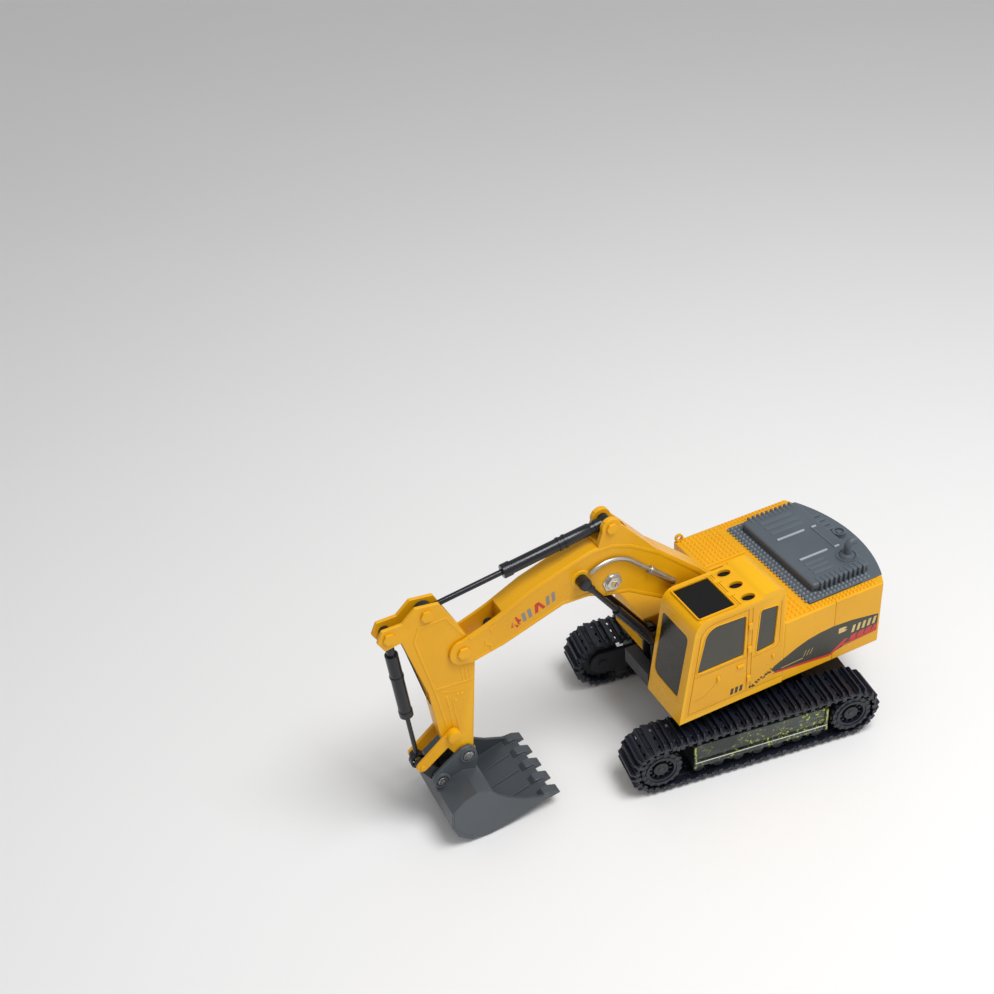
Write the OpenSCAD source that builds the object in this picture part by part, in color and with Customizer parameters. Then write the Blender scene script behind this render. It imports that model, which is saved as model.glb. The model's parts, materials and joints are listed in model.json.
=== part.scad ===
// Toy tracked excavator, about 1:24, with a turning house and a jointed boom, arm and bucket.
// +X points forward from the house, +Y to the cab side, +Z up. The tracks stand on z = 0.
// Side outlines are written as [forward, up] from the slew axis on the ground.

/* [Stance] */
// Forward place of the slew axis, which centres the whole machine on the origin
slew_x = -55; // [-60:0.5:-45]
// Angle the house is turned to the left at rest
rest_slew = 8.6; // [0:0.1:15]

/* [Undercarriage] */
// Overall width over both tracks
overall_w = 118.4; // [116:0.2:122]
// Width of one track shoe
shoe_w = 23.6; // [22:0.2:25]
// Distance from the slew axis to each track wheel
wheel_x = 59.95; // [58:0.05:62]
// Height of the track wheels' axles
axle_z = 18.7; // [18.7:0.1:19.5]
// Inner radius of the track belt
belt_ri = 13.9; // [13.5:0.1:14.2]
// Thickness of the track belt under its ribs
belt_t = 2.6; // [2:0.1:3]
// Height of the ribs on the shoes
rib_h = 2.2; // [1.5:0.1:2.2]
// Number of shoes on each track
shoe_count = 34; // [30:2:38]

/* [House] */
// Width of the house
house_w = 95.4; // [94:0.2:96]
// Height of the underside of the house
house_z = 47.6; // [47.2:0.1:48.5]
// Height of the deck
deck_z = 92; // [90:0.5:93]
// Forward place of the foot of the cab front
cab_front_x = 55.7; // [54:0.1:57]
// Height of the cab roof
roof_z = 117; // [116:0.5:118]
// Half width of the bay that the boom stands in
bay_half = 13.4; // [13.4:0.1:14]
// Wall thickness of the moulded shells
shell_t = 2; // [1.5:0.1:2.4]

/* [Boom and arm] */
// Half width of the boom
boom_half = 7; // [6.8:0.1:7.2]
// Half width of the arm
arm_half = 5; // [4.8:0.1:5.2]
// Wall thickness of the boom and arm halves
beam_t = 1.6; // [1.4:0.1:1.6]
// Radius of the lift cylinder barrels
lift_r = 2.8; // [2.6:0.1:2.8]
// Radius of the arm cylinder barrel
arm_cyl_r = 3; // [2.8:0.1:3.2]
// Radius of the bucket cylinder barrel
bucket_cyl_r = 3.6; // [3:0.1:3.8]

/* [Bucket] */
// Width of the bucket
bucket_w = 54; // [50:1:56]
// Number of teeth on the bucket lip
tooth_count = 5; // [4:1:6]

/* [Hidden] */
$fn = 48;

// Fits
run = 0.05;     // running clearance of a pin in its bore, on the radius
gap = 0.3;      // gap between faces that move past each other
slide_fit = 0.08; // clearance of a piston rod in its barrel, on the radius

// Colours
yellow = "goldenrod";
black = "dimgray";
slate = "slategray";
silver = "silver";
glass = "darkslategray";

// Undercarriage places
track_out = overall_w / 2;
track_in = track_out - shoe_w;
belt_ro = belt_ri + belt_t;
wheel_in = track_in + 4;
wheel_out = track_out - 1.2;
wheel_r = belt_ri - gap;
axle_r = 2.5;
tub_half = 26;
tub_rear = -43;
tub_front = 30;
tub_bottom = 12;
tub_top = 34;
turntable_z = 38;
slew_shaft_r = 6;

// Pivots, [forward, up]
boom_pivot = [2, 86];
lift_boss = [91.5, 140.5];
lift_angle = 55.5;
lift_len = 90;
lift_foot = lift_boss - lift_len * [cos(lift_angle), sin(lift_angle)];
lug_pivot = [71.5, 166.5];
arm_pivot = [162, 121];
arm_rear_pin = [178.5, 152.5];
arm_front_pin = [199.8, 146.8];
rocker_pivot = [174.3, 66.1];
rocker_end = [194.6, 51.1];
bucket_pivot = [168, 47.3];
bucket_link_pin = [185, 36];

// Pins
foot_pin_r = 2.5;
tip_pin_r = 2;
small_pin_r = 1.5;
thin_pin_r = 1.2;

// Cylinders, lengths along the axis from the pivot at the barrel's own end
lift_rod_r = 1.6;
lift_y = boom_half + gap + lift_r + 0.1;
lift_barrel_l = 56;
lift_rod_l = 60;
arm_rod_r = 1.6;
arm_barrel_l = 62;
arm_rod_l = 75;
bucket_rod_r = 1.3;
bucket_barrel_l = 60;
bucket_neck_r = 2.4;
bucket_neck_l = 15;
bucket_rod_l = 55;

// House rear: an arc through both rear corners
house_half = house_w / 2;
rear_corner_x = -81;
rear_bulge = 14;
rear_r = (pow(house_half, 2) + pow(rear_bulge, 2)) / (2 * rear_bulge);
rear_centre_x = rear_corner_x - rear_bulge + rear_r;
grey_front_x = -31;
grey_half = 41;
deck_front_x = 0;
step_front_x = 42;
step_z = 74;
cab_rear_x = -13;

function direction(a, b) = atan2(b[1] - a[1], b[0] - a[0]);

module in_house() {
    translate([slew_x, 0, 0]) rotate([0, 0, rest_slew]) children();
}

module on_tracks() {
    translate([slew_x, 0, 0]) children();
}

// Extrude a side outline [forward, up] from y0 to y1
module slab(y0, y1) {
    translate([0, y1, 0]) rotate([90, 0, 0]) linear_extrude(y1 - y0) children();
}

// Round bar across the machine at p = [forward, up]
module cross_pin(p, r, y0, y1) {
    translate([p[0], y1, p[1]]) rotate([90, 0, 0]) cylinder(r = r, h = y1 - y0);
}

// Hexagon bar across the machine
module cross_hex(p, r, y0, y1) {
    translate([p[0], y1, p[1]]) rotate([90, 0, 0]) cylinder(r = r, h = y1 - y0, $fn = 6);
}

// Bar along the direction from a to b in the side plane, starting s from a
module along(a, b, y) {
    translate([a[0], y, a[1]]) rotate([0, 90 - direction(a, b), 0]) children();
}

module box(x0, x1, y0, y1, z0, z1) {
    translate([x0, y0, z0]) cube([x1 - x0, y1 - y0, z1 - z0]);
}

// ---------- Undercarriage ----------

module chassis_tub() {
    color(black) on_tracks() difference() {
        union() {
            box(tub_rear, tub_front, -tub_half, tub_half, tub_bottom, tub_top);
            for (x = [-28, 18]) {
                box(x - 9, x + 9, -track_in - 1, track_in + 1, 16, 28);
            }
            translate([0, 0, tub_top]) cylinder(r = 25, h = turntable_z - tub_top);
        }
        box(tub_rear + 2, tub_front - 2, 2 - tub_half, tub_half - 2, tub_bottom - 1, tub_top - 2);
        translate([0, 0, tub_top - 3]) cylinder(r = slew_shaft_r + run, h = 8);
    }
}

module belly_plate() {
    color(black) on_tracks() difference() {
        union() {
            box(tub_rear, tub_front, -tub_half, tub_half, tub_bottom - 2, tub_bottom);
            box(-32, 22, -21, 21, tub_bottom - 2.8, tub_bottom - 2);
        }
        for (p = screw_places) {
            translate([p[0], p[1], 0]) cylinder(r = 1.1, h = tub_bottom + 1);
        }
    }
}

screw_places = [[-37, 20], [-37, -20], [25, 20], [25, -20]];

module chassis_screws() {
    color(silver) on_tracks() for (p = screw_places) {
        translate([p[0], p[1], 0]) {
            translate([0, 0, tub_bottom - 3.2]) cylinder(r = 2, h = 1.2);
            translate([0, 0, tub_bottom - 2]) cylinder(r = 1, h = 8);
        }
    }
}

module battery_pack() {
    color("seagreen") on_tracks() for (i = [-1:1]) {
        translate([-28, i * 14.6, tub_bottom + 7.4]) rotate([0, 90, 0]) cylinder(r = 7, h = 48);
    }
}

// Gear case behind the tub, open inside for its motor. side = 1 is left.
module gearbox(side) {
    on_tracks() scale([1, side, 1]) difference() {
        box(-70, tub_rear, 1, 33, 10, 29);
        box(-68.4, tub_rear - 2, 2.6, 31.4, 11.6, 27.4);
        cross_pin([-wheel_x, axle_z], axle_r + run, 30, 34);
    }
}

module drive_gearbox_left() { color(black) gearbox(1); }
module drive_gearbox_right() { color(black) gearbox(-1); }

module motor(side) {
    on_tracks() scale([1, side, 1]) union() {
        translate([-52, 4, 19.5]) rotate([-90, 0, 0]) cylinder(r = 6.6, h = 18);
        translate([-52, 22, 19.5]) rotate([-90, 0, 0]) cylinder(r = 1, h = 6);
        translate([-52, 24, 19.5]) rotate([-90, 0, 0]) cylinder(r = 2.2, h = 3);
    }
}

module drive_motor_left() { color(silver) motor(1); }
module drive_motor_right() { color(silver) motor(-1); }

// Long frame inside the belt that holds both wheels
module track_frame(side) {
    on_tracks() scale([1, side, 1]) difference() {
        union() {
            slab(track_in + 1, track_in + 3.5) hull() {
                translate([-wheel_x, axle_z]) circle(r = 8);
                translate([wheel_x, axle_z]) circle(r = 8);
            }
            box(-43, 39, track_in + 3.5, track_out - 5.4, 8.6, 29);
            for (i = [0:6]) {
                cross_pin([-39 + i * 12.5, 9.6], 3.4, track_out - 5.4, track_out - 3.4);
            }
        }
        box(-41, 37, track_in + 5, track_out - 7, 10.6, 27);
        for (x = [-wheel_x, wheel_x]) {
            cross_pin([x, axle_z], axle_r + run, track_in, track_in + 5);
        }
    }
}

module track_frame_left() { color(black) track_frame(1); }
module track_frame_right() { color(black) track_frame(-1); }

// Smoked side panel with its raised ledge
module track_cover(side) {
    on_tracks() scale([1, side, 1]) union() {
        box(-44.2, 39.8, track_out - 3.2, track_out - 1.4, 12, 29.3);
        box(-44.2, 39.8, track_out - 1.4, track_out - 0.4, 15.6, 17);
        box(-44.2, -42.6, track_out - 1.4, track_out - 0.6, 12, 29.3);
        box(38.2, 39.8, track_out - 1.4, track_out - 0.6, 12, 29.3);
        for (x = [-38, 34]) {
            cross_pin([x, 22], 1.5, track_out - 5.4, track_out - 3.2);
        }
    }
}

module track_cover_left() { color(glass) track_cover(1); }
module track_cover_right() { color(glass) track_cover(-1); }

module stadium(r) {
    hull() {
        translate([-wheel_x, axle_z]) circle(r = r, $fn = 64);
        translate([wheel_x, axle_z]) circle(r = r, $fn = 64);
    }
}

// Place and heading of a point s along the outside of the belt
belt_straight = 2 * wheel_x;
belt_turn = PI * belt_ro;
belt_length = 2 * (belt_straight + belt_turn);
function belt_place(s) =
    s < belt_straight ? [wheel_x - s, axle_z + belt_ro, 180] :
    s < belt_straight + belt_turn ?
        let (a = 90 + (s - belt_straight) / belt_turn * 180)
        [-wheel_x + belt_ro * cos(a), axle_z + belt_ro * sin(a), a + 90] :
    s < 2 * belt_straight + belt_turn ?
        [-wheel_x + (s - belt_straight - belt_turn), axle_z - belt_ro, 360] :
        let (a = 270 + (s - 2 * belt_straight - belt_turn) / belt_turn * 180)
        [wheel_x + belt_ro * cos(a), axle_z + belt_ro * sin(a), a + 90];

// Closed belt with two ribs on each shoe
module track_belt(side) {
    y0 = side > 0 ? track_in : -track_out;
    on_tracks() slab(y0, y0 + shoe_w) difference() {
        union() {
            stadium(belt_ro);
            for (i = [0:shoe_count - 1]) {
                for (e = [-1.9, 1.9]) {
                    p = belt_place((i + 0.5) * belt_length / shoe_count + e);
                    translate([p[0], p[1]]) rotate(p[2]) translate([-0.7, -rib_h]) square([1.4, rib_h + 1]);
                }
            }
        }
        stadium(belt_ri);
    }
}

module track_belt_left() { color(black) track_belt(1); }
module track_belt_right() { color(black) track_belt(-1); }

// Wheel with a toothed rim, an open face and a hub. shaft is how far its axle reaches inwards.
module track_wheel(x, side, teeth, shaft) {
    on_tracks() scale([1, side, 1]) translate([x, 0, axle_z]) rotate([-90, 0, 0]) {
        difference() {
            translate([0, 0, wheel_in]) cylinder(r = wheel_r - 1.6, h = wheel_out - wheel_in, $fn = 64);
            translate([0, 0, wheel_out - 4]) cylinder(r = wheel_r - 4.4, h = 5);
        }
        for (i = [0:teeth - 1]) {
            rotate([0, 0, i * 360 / teeth]) translate([wheel_r - 2.4, -1.1, wheel_in])
                cube([1.9, 2.2, wheel_out - wheel_in - 1]);
        }
        translate([0, 0, wheel_out - 4.5]) cylinder(r = 4.4, h = 4);
        translate([0, 0, wheel_in - shaft]) cylinder(r = axle_r, h = shaft + 1);
    }
}

module drive_wheel_left() { color(black) track_wheel(-wheel_x, 1, 18, 9); }
module drive_wheel_right() { color(black) track_wheel(-wheel_x, -1, 18, 9); }
module idler_wheel_left() { color(black) track_wheel(wheel_x, 1, 18, 4); }
module idler_wheel_right() { color(black) track_wheel(wheel_x, -1, 18, 4); }

// ---------- House ----------

module slew_ring() {
    color(black) in_house() union() {
        translate([0, 0, turntable_z + gap]) cylinder(r = 27, h = house_z - turntable_z - gap);
        translate([0, 0, tub_top - 4]) cylinder(r = slew_shaft_r, h = 10);
        translate([0, 0, tub_top - 4]) cylinder(r = slew_shaft_r + 2, h = 1.8);
    }
}

// Plan outline of the house, drawn in from the walls by an inset
module house_plan(inset, front_x) {
    intersection() {
        translate([rear_corner_x - rear_bulge - 5, -house_half + inset])
            square([front_x - rear_corner_x + rear_bulge + 5 - inset, house_w - 2 * inset]);
        translate([rear_centre_x, 0]) circle(r = rear_r - inset, $fn = 180);
    }
}

// Front edge of the pan, and the height that the shells' inner walls leave free for it
pan_front_x = cab_front_x - 3.1;
pan_seat_h = 2.5;

module house_pan() {
    color(black) in_house() union() {
        translate([0, 0, house_z]) linear_extrude(2.4) difference() {
            house_plan(shell_t + 0.1, pan_front_x);
            translate([step_front_x - 2.1, -house_half - 1]) square([40, house_half - bay_half + 1.1]);
        }
        // Cheeks that hold the foot of the lift cylinders
        for (s = [-1, 1]) {
            translate([lift_foot[0] - 7, s * 4.6 - 1, house_z + 2.4])
                cube([14, 2, lift_foot[1] + 3 - house_z - 2.4]);
        }
        cross_pin(lift_foot, thin_pin_r, 1 - bay_half, bay_half - 1);
        // Posts for the body screws
        for (p = body_screw_places) {
            translate([p[0], p[1], house_z + 2.4]) difference() {
                cylinder(r = 3, h = 12);
                translate([0, 0, 2]) cylinder(r = 1.3, h = 11);
            }
        }
        // Black front beam under the boom
        box(48, cab_front_x - 0.6, 0.3 - bay_half, bay_half - 0.3, house_z, house_z + 10);
    }
}

body_screw_places = [[-70, 30], [-70, -30], [22, 38], [22, -38]];

module house_screws() {
    color(silver) in_house() for (p = body_screw_places) {
        translate([p[0], p[1], house_z - 1.2]) cylinder(r = 2, h = 1.2);
    }
}

// Walls and deck behind and beside the boom bay, without the cab
module house_block(inset, top) {
    translate([0, 0, house_z]) linear_extrude(top - house_z) difference() {
        house_plan(inset, deck_front_x);
        translate([-12 - inset, -bay_half - inset]) square([60, 2 * (bay_half + inset)]);
        translate([cab_rear_x - inset, 0]) square([60, house_half + 1]);
    }
}

module house_shell() {
    color(yellow) in_house() difference() {
        union() {
            difference() {
                house_block(0, deck_z);
                translate([0, 0, -0.1]) house_block(shell_t, deck_z - shell_t);
            }
            // Lower step in front of the right deck
            difference() {
                box(deck_front_x - 0.1, step_front_x, -house_half, -bay_half, house_z, step_z);
                box(deck_front_x - 0.2, step_front_x - shell_t, shell_t - house_half, -bay_half - shell_t,
                    house_z - 1, step_z - shell_t);
            }
            // Right wall of the boom bay
            box(-12, step_front_x, -bay_half - shell_t, -bay_half, house_z + 3, step_z);
            box(-12, deck_front_x + 8, -bay_half - shell_t, -bay_half, house_z + 3, deck_z);
        }
        // Rebate for the pan
        translate([0, 0, house_z - 1]) linear_extrude(1 + pan_seat_h)
            house_plan(shell_t - 0.2, step_front_x);
        // Opening that the engine cover closes
        translate([0, 0, deck_z - shell_t - 1]) linear_extrude(8) intersection() {
            house_plan(shell_t + 1.4, grey_front_x);
            translate([-120, -grey_half]) square([130, 2 * grey_half]);
        }
        cross_pin(boom_pivot, foot_pin_r + run, -bay_half - 3, 1 - bay_half);
    }
}

// Grey rear cover with the raised hood
module engine_cover() {
    color(slate) in_house() union() {
        translate([0, 0, deck_z - shell_t]) linear_extrude(shell_t + 0.6) intersection() {
            house_plan(shell_t + 1.5, grey_front_x - 0.1);
            translate([-120, 0.1 - grey_half]) square([130, 2 * grey_half - 0.2]);
        }
        translate([0, 0, deck_z + 0.6]) linear_extrude(3.4) hood_plan(0);
        translate([0, 0, deck_z + 4]) linear_extrude(1.6) hood_plan(1.5);
        translate([0, 0, deck_z + 5.6]) linear_extrude(1) hood_plan(3.2);
    }
}

module hood_plan(inset) {
    hull() for (x = [-78 + inset, -43 - inset]) {
        for (y = [-33 + inset, 33 - inset]) {
            translate([x, y]) circle(r = 2.4, $fn = 24);
        }
    }
}

exhaust_at = [-73, 24];

module exhaust_stack() {
    bend_r = 3.2;
    pipe_r = 2.3;
    color(slate) in_house() translate([exhaust_at[0], exhaust_at[1], deck_z + 6.6]) union() {
        cylinder(r1 = 5, r2 = 3.4, h = 2.4);
        translate([0, 0, 2]) cylinder(r = pipe_r, h = 5);
        translate([-bend_r, 0, 7]) rotate([90, 0, 0])
            rotate_extrude(angle = 90) translate([bend_r, 0]) circle(r = pipe_r);
        translate([-bend_r - 2, 0, 7 + bend_r]) rotate([0, 90, 0]) cylinder(r = pipe_r, h = 2);
    }
}

module filler_knob() {
    color(slate) in_house() translate([-87, -1, deck_z + 0.6]) difference() {
        cylinder(r = 4, h = 3);
        translate([0, 0, 2]) cylinder(r = 2.6, h = 2);
    }
}

// Cab side outline
cab_outline = [
    [cab_front_x, house_z], [45.6, 111], [44, 114.6], [40, roof_z], [6, roof_z], [4.6, roof_z + 2.4],
    [-8, roof_z + 2.4], [-12, roof_z - 0.6], [cab_rear_x, roof_z - 4], [cab_rear_x, house_z]
];
cab_cavity = [
    [cab_front_x - 2.4, house_z - 1], [43.2, 111], [39, roof_z - 2],
    [-10.6, roof_z - 2], [-10.8, house_z - 1]
];
door_outline = [[44, 81.3], [36.5, 110], [13.2, 109], [14.4, 81.3]];
rear_side_outline = [[5.8, 79], [3.4, 109.2], [-7.6, 108], [-6, 80.2]];
screen_foot = [53.2, 62.7];
screen_head = [46.7, 104.8];
screen_y0 = bay_half + 3.6;
screen_y1 = house_half - 4.6;

module cab_shell() {
    color(yellow) in_house() difference() {
        slab(bay_half, house_half) polygon(cab_outline);
        slab(bay_half + shell_t, house_half - shell_t) polygon(cab_cavity);
        // Rebate for the pan
        box(cab_rear_x - 1, pan_front_x + 0.3, bay_half - 1, house_half - shell_t + 0.2, house_z - 1,
            house_z + pan_seat_h);
        slab(house_half - shell_t - 1, house_half + 1) polygon(door_outline);
        slab(house_half - shell_t - 1, house_half + 1) polygon(rear_side_outline);
        slab(bay_half - 1, bay_half + shell_t + 1) polygon(door_outline);
        screen_block(6, 0);
        box(19, 40.6, bay_half + 4, house_half - 4, roof_z - 5, roof_z + 4);
        for (y = vent_rows) {
            translate([7.2 + 3, y, roof_z - 4]) cylinder(r = 2.6, h = 9);
        }
        cross_pin(boom_pivot, foot_pin_r + run, bay_half - 1, bay_half + 3);
    }
}

vent_rows = [bay_half + 6, bay_half + 16.5, bay_half + 27];

// Slanted block that fills the windscreen opening
module screen_block(depth, trim) {
    slab(screen_y0 + trim, screen_y1 - trim) polygon([
        [screen_foot[0] - depth, screen_foot[1] + trim], [screen_foot[0] + depth, screen_foot[1] + trim],
        [screen_head[0] + depth, screen_head[1] - trim], [screen_head[0] - depth, screen_head[1] - trim]
    ]);
}

module windscreen() {
    color(glass) in_house() intersection() {
        screen_block(5, 0.05);
        slab(bay_half, house_half) polygon([
            [cab_front_x - 0.5, house_z], [45.1, 111], [43.5, 111], [cab_front_x - 2.1, house_z]
        ]);
    }
}

module roof_window() {
    color(glass) in_house() box(19.05, 40.55, bay_half + 4.05, house_half - 4.05, roof_z - 2, roof_z - 0.4);
}

module pane(outline, y0, y1) {
    slab(y0, y1) offset(delta = -0.05) polygon(outline);
}

module door_window() {
    color(glass) in_house() pane(door_outline, house_half - 1.9, house_half - 0.4);
}

module rear_side_window() {
    color(glass) in_house() pane(rear_side_outline, house_half - 1.9, house_half - 0.4);
}

module right_window() {
    color(glass) in_house() pane(door_outline, bay_half + 0.4, bay_half + 1.9);
}

module roof_vents() {
    color(black) in_house() for (y = vent_rows) {
        translate([7.2 + 3, y, roof_z - 2]) cylinder(r = 2.5, h = 1.6);
    }
}

module receiver_board() {
    color("seagreen") in_house() union() {
        box(-60, -22, -34, -16, 56, 57.6);
        box(-52, -40, -30, -20, 57.6, 60);
        for (x = [-57, -25]) {
            box(x - 2, x + 2, -27, -23, house_z + 2.4, 56);
        }
    }
}

module slew_motor() {
    color(silver) in_house() union() {
        translate([-30, 22, house_z + 2.4]) cylinder(r = 8, h = 14);
        translate([-30, 22, house_z + 16.4]) cylinder(r = 6.6, h = 12);
    }
}

module boom_foot_pin() {
    color(silver) in_house() cross_pin(boom_pivot, foot_pin_r, -bay_half - 1.8, bay_half + 1.8);
}

// ---------- Boom ----------

boom_top = [[-5, 92], [17, 116.5], [43, 140.5], [61, 152.5], [72, 156.3], [84, 156.8], [101.6, 152],
    [121.7, 145.5], [142, 136], [150, 133], [162, 129]];
boom_under = [[162, 113], [158, 112], [140, 115.5], [119.6, 122], [103, 127.3], [87, 126.5], [76.9, 122.3],
    [62.4, 118.5], [48.8, 109.5], [30, 97], [8, 79]];
cavity_top = [[6, 98.5], [43, 138], [61, 150], [72, 154], [84, 154.4], [121, 143], [137, 135.5]];
cavity_under = [[137, 118.6], [119.6, 124.3], [103, 129.6], [87, 128.8], [62.4, 121], [48.8, 112],
    [14, 86.5]];

module boom_plate() {
    union() {
        polygon(concat(boom_top, boom_under));
        translate(arm_pivot) circle(r = 8);
        translate(boom_pivot) circle(r = 9);
        // Lug that carries the arm cylinder
        polygon([[44, 141], [50, 148.5], [68, 169.5], [75, 171], [80, 157], [72, 150]]);
        translate(lug_pivot) circle(r = 5.6);
    }
}

// One half of the boom. side = 1 is left. The fork at the tip and the lug are open between the halves.
module boom_half_shell(side) {
    in_house() scale([1, side, 1]) difference() {
        union() {
            slab(0, boom_half) boom_plate();
            cross_pin(lift_boss, 4.4, boom_half - 0.1, boom_half + 0.2);
            cross_pin(lift_boss, small_pin_r, boom_half, lift_y + 3.4);
            cross_pin(lift_boss, 4.6, lift_y + 3.2, lift_y + 5);
        }
        slab(-1, boom_half - beam_t) polygon(concat(cavity_top, cavity_under));
        // Fork for the arm, clear over its whole swing
        slab(-1, arm_half + gap) polygon([[138, 150], [138, 100], [180, 90], [180, 150]]);
        // Slot for the arm cylinder
        slab(-1, arm_cyl_r + 0.9) polygon([[60, 158.8], [60, 180], [120, 180], [120, 157.8], [80, 158.2]]);
        cross_pin(boom_pivot, foot_pin_r + run, -1, boom_half + 1);
        cross_pin(arm_pivot, tip_pin_r + run, -1, boom_half + 1);
        cross_pin(lug_pivot, small_pin_r + run, -1, boom_half + 1);
        cross_pin([72.5, 130.5], small_pin_r + run, -1, boom_half + 1);
    }
}

module boom_left_half() { color(yellow) boom_half_shell(1); }
module boom_right_half() { color(yellow) boom_half_shell(-1); }

// Bent silver pipe that lies on the side of the boom: an arc, a straight end and a thicker sleeve
pipe_centre = [74.7, 126.9];
pipe_bend_r = 20;
pipe_from = 54.8;
pipe_sweep = 79.8;
pipe_heading = pipe_from + pipe_sweep + 90;
pipe_straight = 16;
sleeve_l = 22;
pipe_y = boom_half + 1.5;

module boom_pipe(side) {
    bend_end = pipe_centre + pipe_bend_r * [cos(pipe_from + pipe_sweep), sin(pipe_from + pipe_sweep)];
    in_house() scale([1, side, 1]) union() {
        translate([pipe_centre[0], pipe_y, pipe_centre[1]]) rotate([90, 0, 0]) rotate([0, 0, pipe_from])
            rotate_extrude(angle = pipe_sweep) translate([pipe_bend_r, 0]) circle(r = 0.9, $fn = 24);
        translate([bend_end[0], pipe_y, bend_end[1]]) rotate([0, 90 - pipe_heading, 0]) union() {
            translate([0, 0, -0.3]) cylinder(r = 1, h = pipe_straight, $fn = 24);
            translate([0, 0, pipe_straight - 1]) cylinder(r = 1.3, h = sleeve_l, $fn = 24);
            translate([0, 0, pipe_straight + 0.6]) cylinder(r = 1.45, h = 1.4, $fn = 24);
        }
    }
}

module boom_pipe_left() { color(silver) boom_pipe(1); }
module boom_pipe_right() { color(silver) boom_pipe(-1); }

module boom_bolt() {
    p = [72.5, 130.5];
    color(silver) in_house() union() {
        cross_pin(p, small_pin_r, -boom_half - 2.6, boom_half + 2.6);
        for (s = [-1, 1]) {
            scale([1, s, 1]) cross_hex(p, 4.4, boom_half + 0.02, boom_half + 1.8);
        }
    }
}

// Pins of the boom with hexagonal heads
module boom_pins() {
    color(yellow) in_house() union() {
        cross_pin(arm_pivot, tip_pin_r, -boom_half - 1.4, boom_half + 1.4);
        cross_pin(lug_pivot, small_pin_r, -boom_half - 1.4, boom_half + 1.4);
        for (s = [-1, 1]) {
            scale([1, s, 1]) cross_hex(arm_pivot, 4, boom_half + 0.02, boom_half + 1.4);
            scale([1, s, 1]) cross_hex(lug_pivot, 3.4, boom_half + 0.02, boom_half + 1.4);
        }
    }
}

// ---------- Lift cylinders ----------

// Rod hangs on the boom's boss, barrel slides on the rod and reaches the foot pin
module lift_rod(side) {
    y = side * lift_y;
    in_house() difference() {
        union() {
            cross_pin(lift_boss, 3.6, y - 2.4, y + 2.4);
            along(lift_boss, lift_foot, y) cylinder(r = lift_rod_r, h = lift_rod_l, $fn = 32);
            along(lift_boss, lift_foot, y) translate([0, 0, 2]) cylinder(r = 2.3, h = 6.5, $fn = 32);
        }
        cross_pin(lift_boss, small_pin_r + run, y - 4, y + 4);
    }
}

module lift_rod_left() { color(black) lift_rod(1); }
module lift_rod_right() { color(black) lift_rod(-1); }

lift_eye_bore = 4.6;
module lift_barrel(side) {
    y = side * lift_y;
    in_house() difference() {
        union() {
            along(lift_foot, lift_boss, y) translate([0, 0, 5])
                cylinder(r = lift_r, h = lift_barrel_l - 5, $fn = 32);
            cross_pin(lift_foot, lift_eye_bore + 1.3, y - 2.4, y + 2.4);
        }
        along(lift_foot, lift_boss, y) translate([0, 0, 9])
            cylinder(r = lift_rod_r + slide_fit, h = lift_barrel_l, $fn = 32);
        cross_pin(lift_foot, lift_eye_bore, y - 4, y + 4);
    }
}

module lift_barrel_left() { color(black) lift_barrel(1); }
module lift_barrel_right() { color(black) lift_barrel(-1); }

// ---------- Arm cylinder ----------

module arm_cylinder_barrel() {
    a = lug_pivot;
    b = arm_rear_pin;
    color(black) in_house() difference() {
        union() {
            cross_pin(a, 3.4, -arm_cyl_r - 0.4, arm_cyl_r + 0.4);
            along(a, b, 0) cylinder(r = arm_cyl_r, h = arm_barrel_l, $fn = 40);
            for (s = [[3, 4], [31, 1.6], [57, 5]]) {
                along(a, b, 0) translate([0, 0, s[0]]) cylinder(r = arm_cyl_r + 0.5, h = s[1], $fn = 40);
            }
        }
        cross_pin(a, small_pin_r + run, -6, 6);
        along(a, b, 0) translate([0, 0, 8]) cylinder(r = arm_rod_r + slide_fit, h = arm_barrel_l, $fn = 40);
    }
}

module arm_cylinder_rod() {
    a = arm_rear_pin;
    b = lug_pivot;
    color(black) in_house() difference() {
        union() {
            along(a, b, 0) cylinder(r = arm_rod_r, h = arm_rod_l, $fn = 32);
            cross_pin(a, 5.2, -1.6, 1.6);
        }
        cross_pin(a, 4.1, -3, 3);
    }
}

// ---------- Arm ----------

arm_outline = [
    [163.2, 48], [157.5, 95], [155.8, 110], [157, 127], [171, 157.4], [184, 159.4], [192, 152.6],
    [203, 152.6], [206.4, 146], [203, 139.5], [194, 141], [184, 100], [181.5, 70], [180, 60], [174.4, 49]
];
arm_cavity = [
    [166, 56], [160.8, 95], [160, 110], [170, 126], [178, 140], [188, 138], [190.5, 136], [181.4, 100],
    [178.6, 70], [176, 57]
];

module arm_half_shell(side) {
    in_house() scale([1, side, 1]) difference() {
        union() {
            slab(0, arm_half) polygon(arm_outline);
            cross_pin(bucket_pivot, 6, 0.05, arm_half - 0.05);
        }
        slab(-1, arm_half - beam_t) polygon(arm_cavity);
        // Gaps between the ear plates, for the rod eye and the bucket cylinder
        slab(-1, 2.9) polygon([[150, 138], [171, 138], [187.5, 140], [187.5, 170], [150, 170]]);
        slab(-1, 2.9) polygon([
            [187.4, 136], [192, 136], [183, 100], [183, 90], [215, 90], [215, 160], [187.4, 160]
        ]);
        cross_pin(arm_pivot, tip_pin_r + run, -1, 9);
        cross_pin(arm_rear_pin, thin_pin_r + run, -1, 9);
        cross_pin(arm_front_pin, small_pin_r + run, -1, 9);
        cross_pin(rocker_pivot, tip_pin_r + run, -1, 9);
        cross_pin(bucket_pivot, small_pin_r + run, -1, 9);
    }
}

module arm_left_half() { color(yellow) arm_half_shell(1); }
module arm_right_half() { color(yellow) arm_half_shell(-1); }

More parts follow.
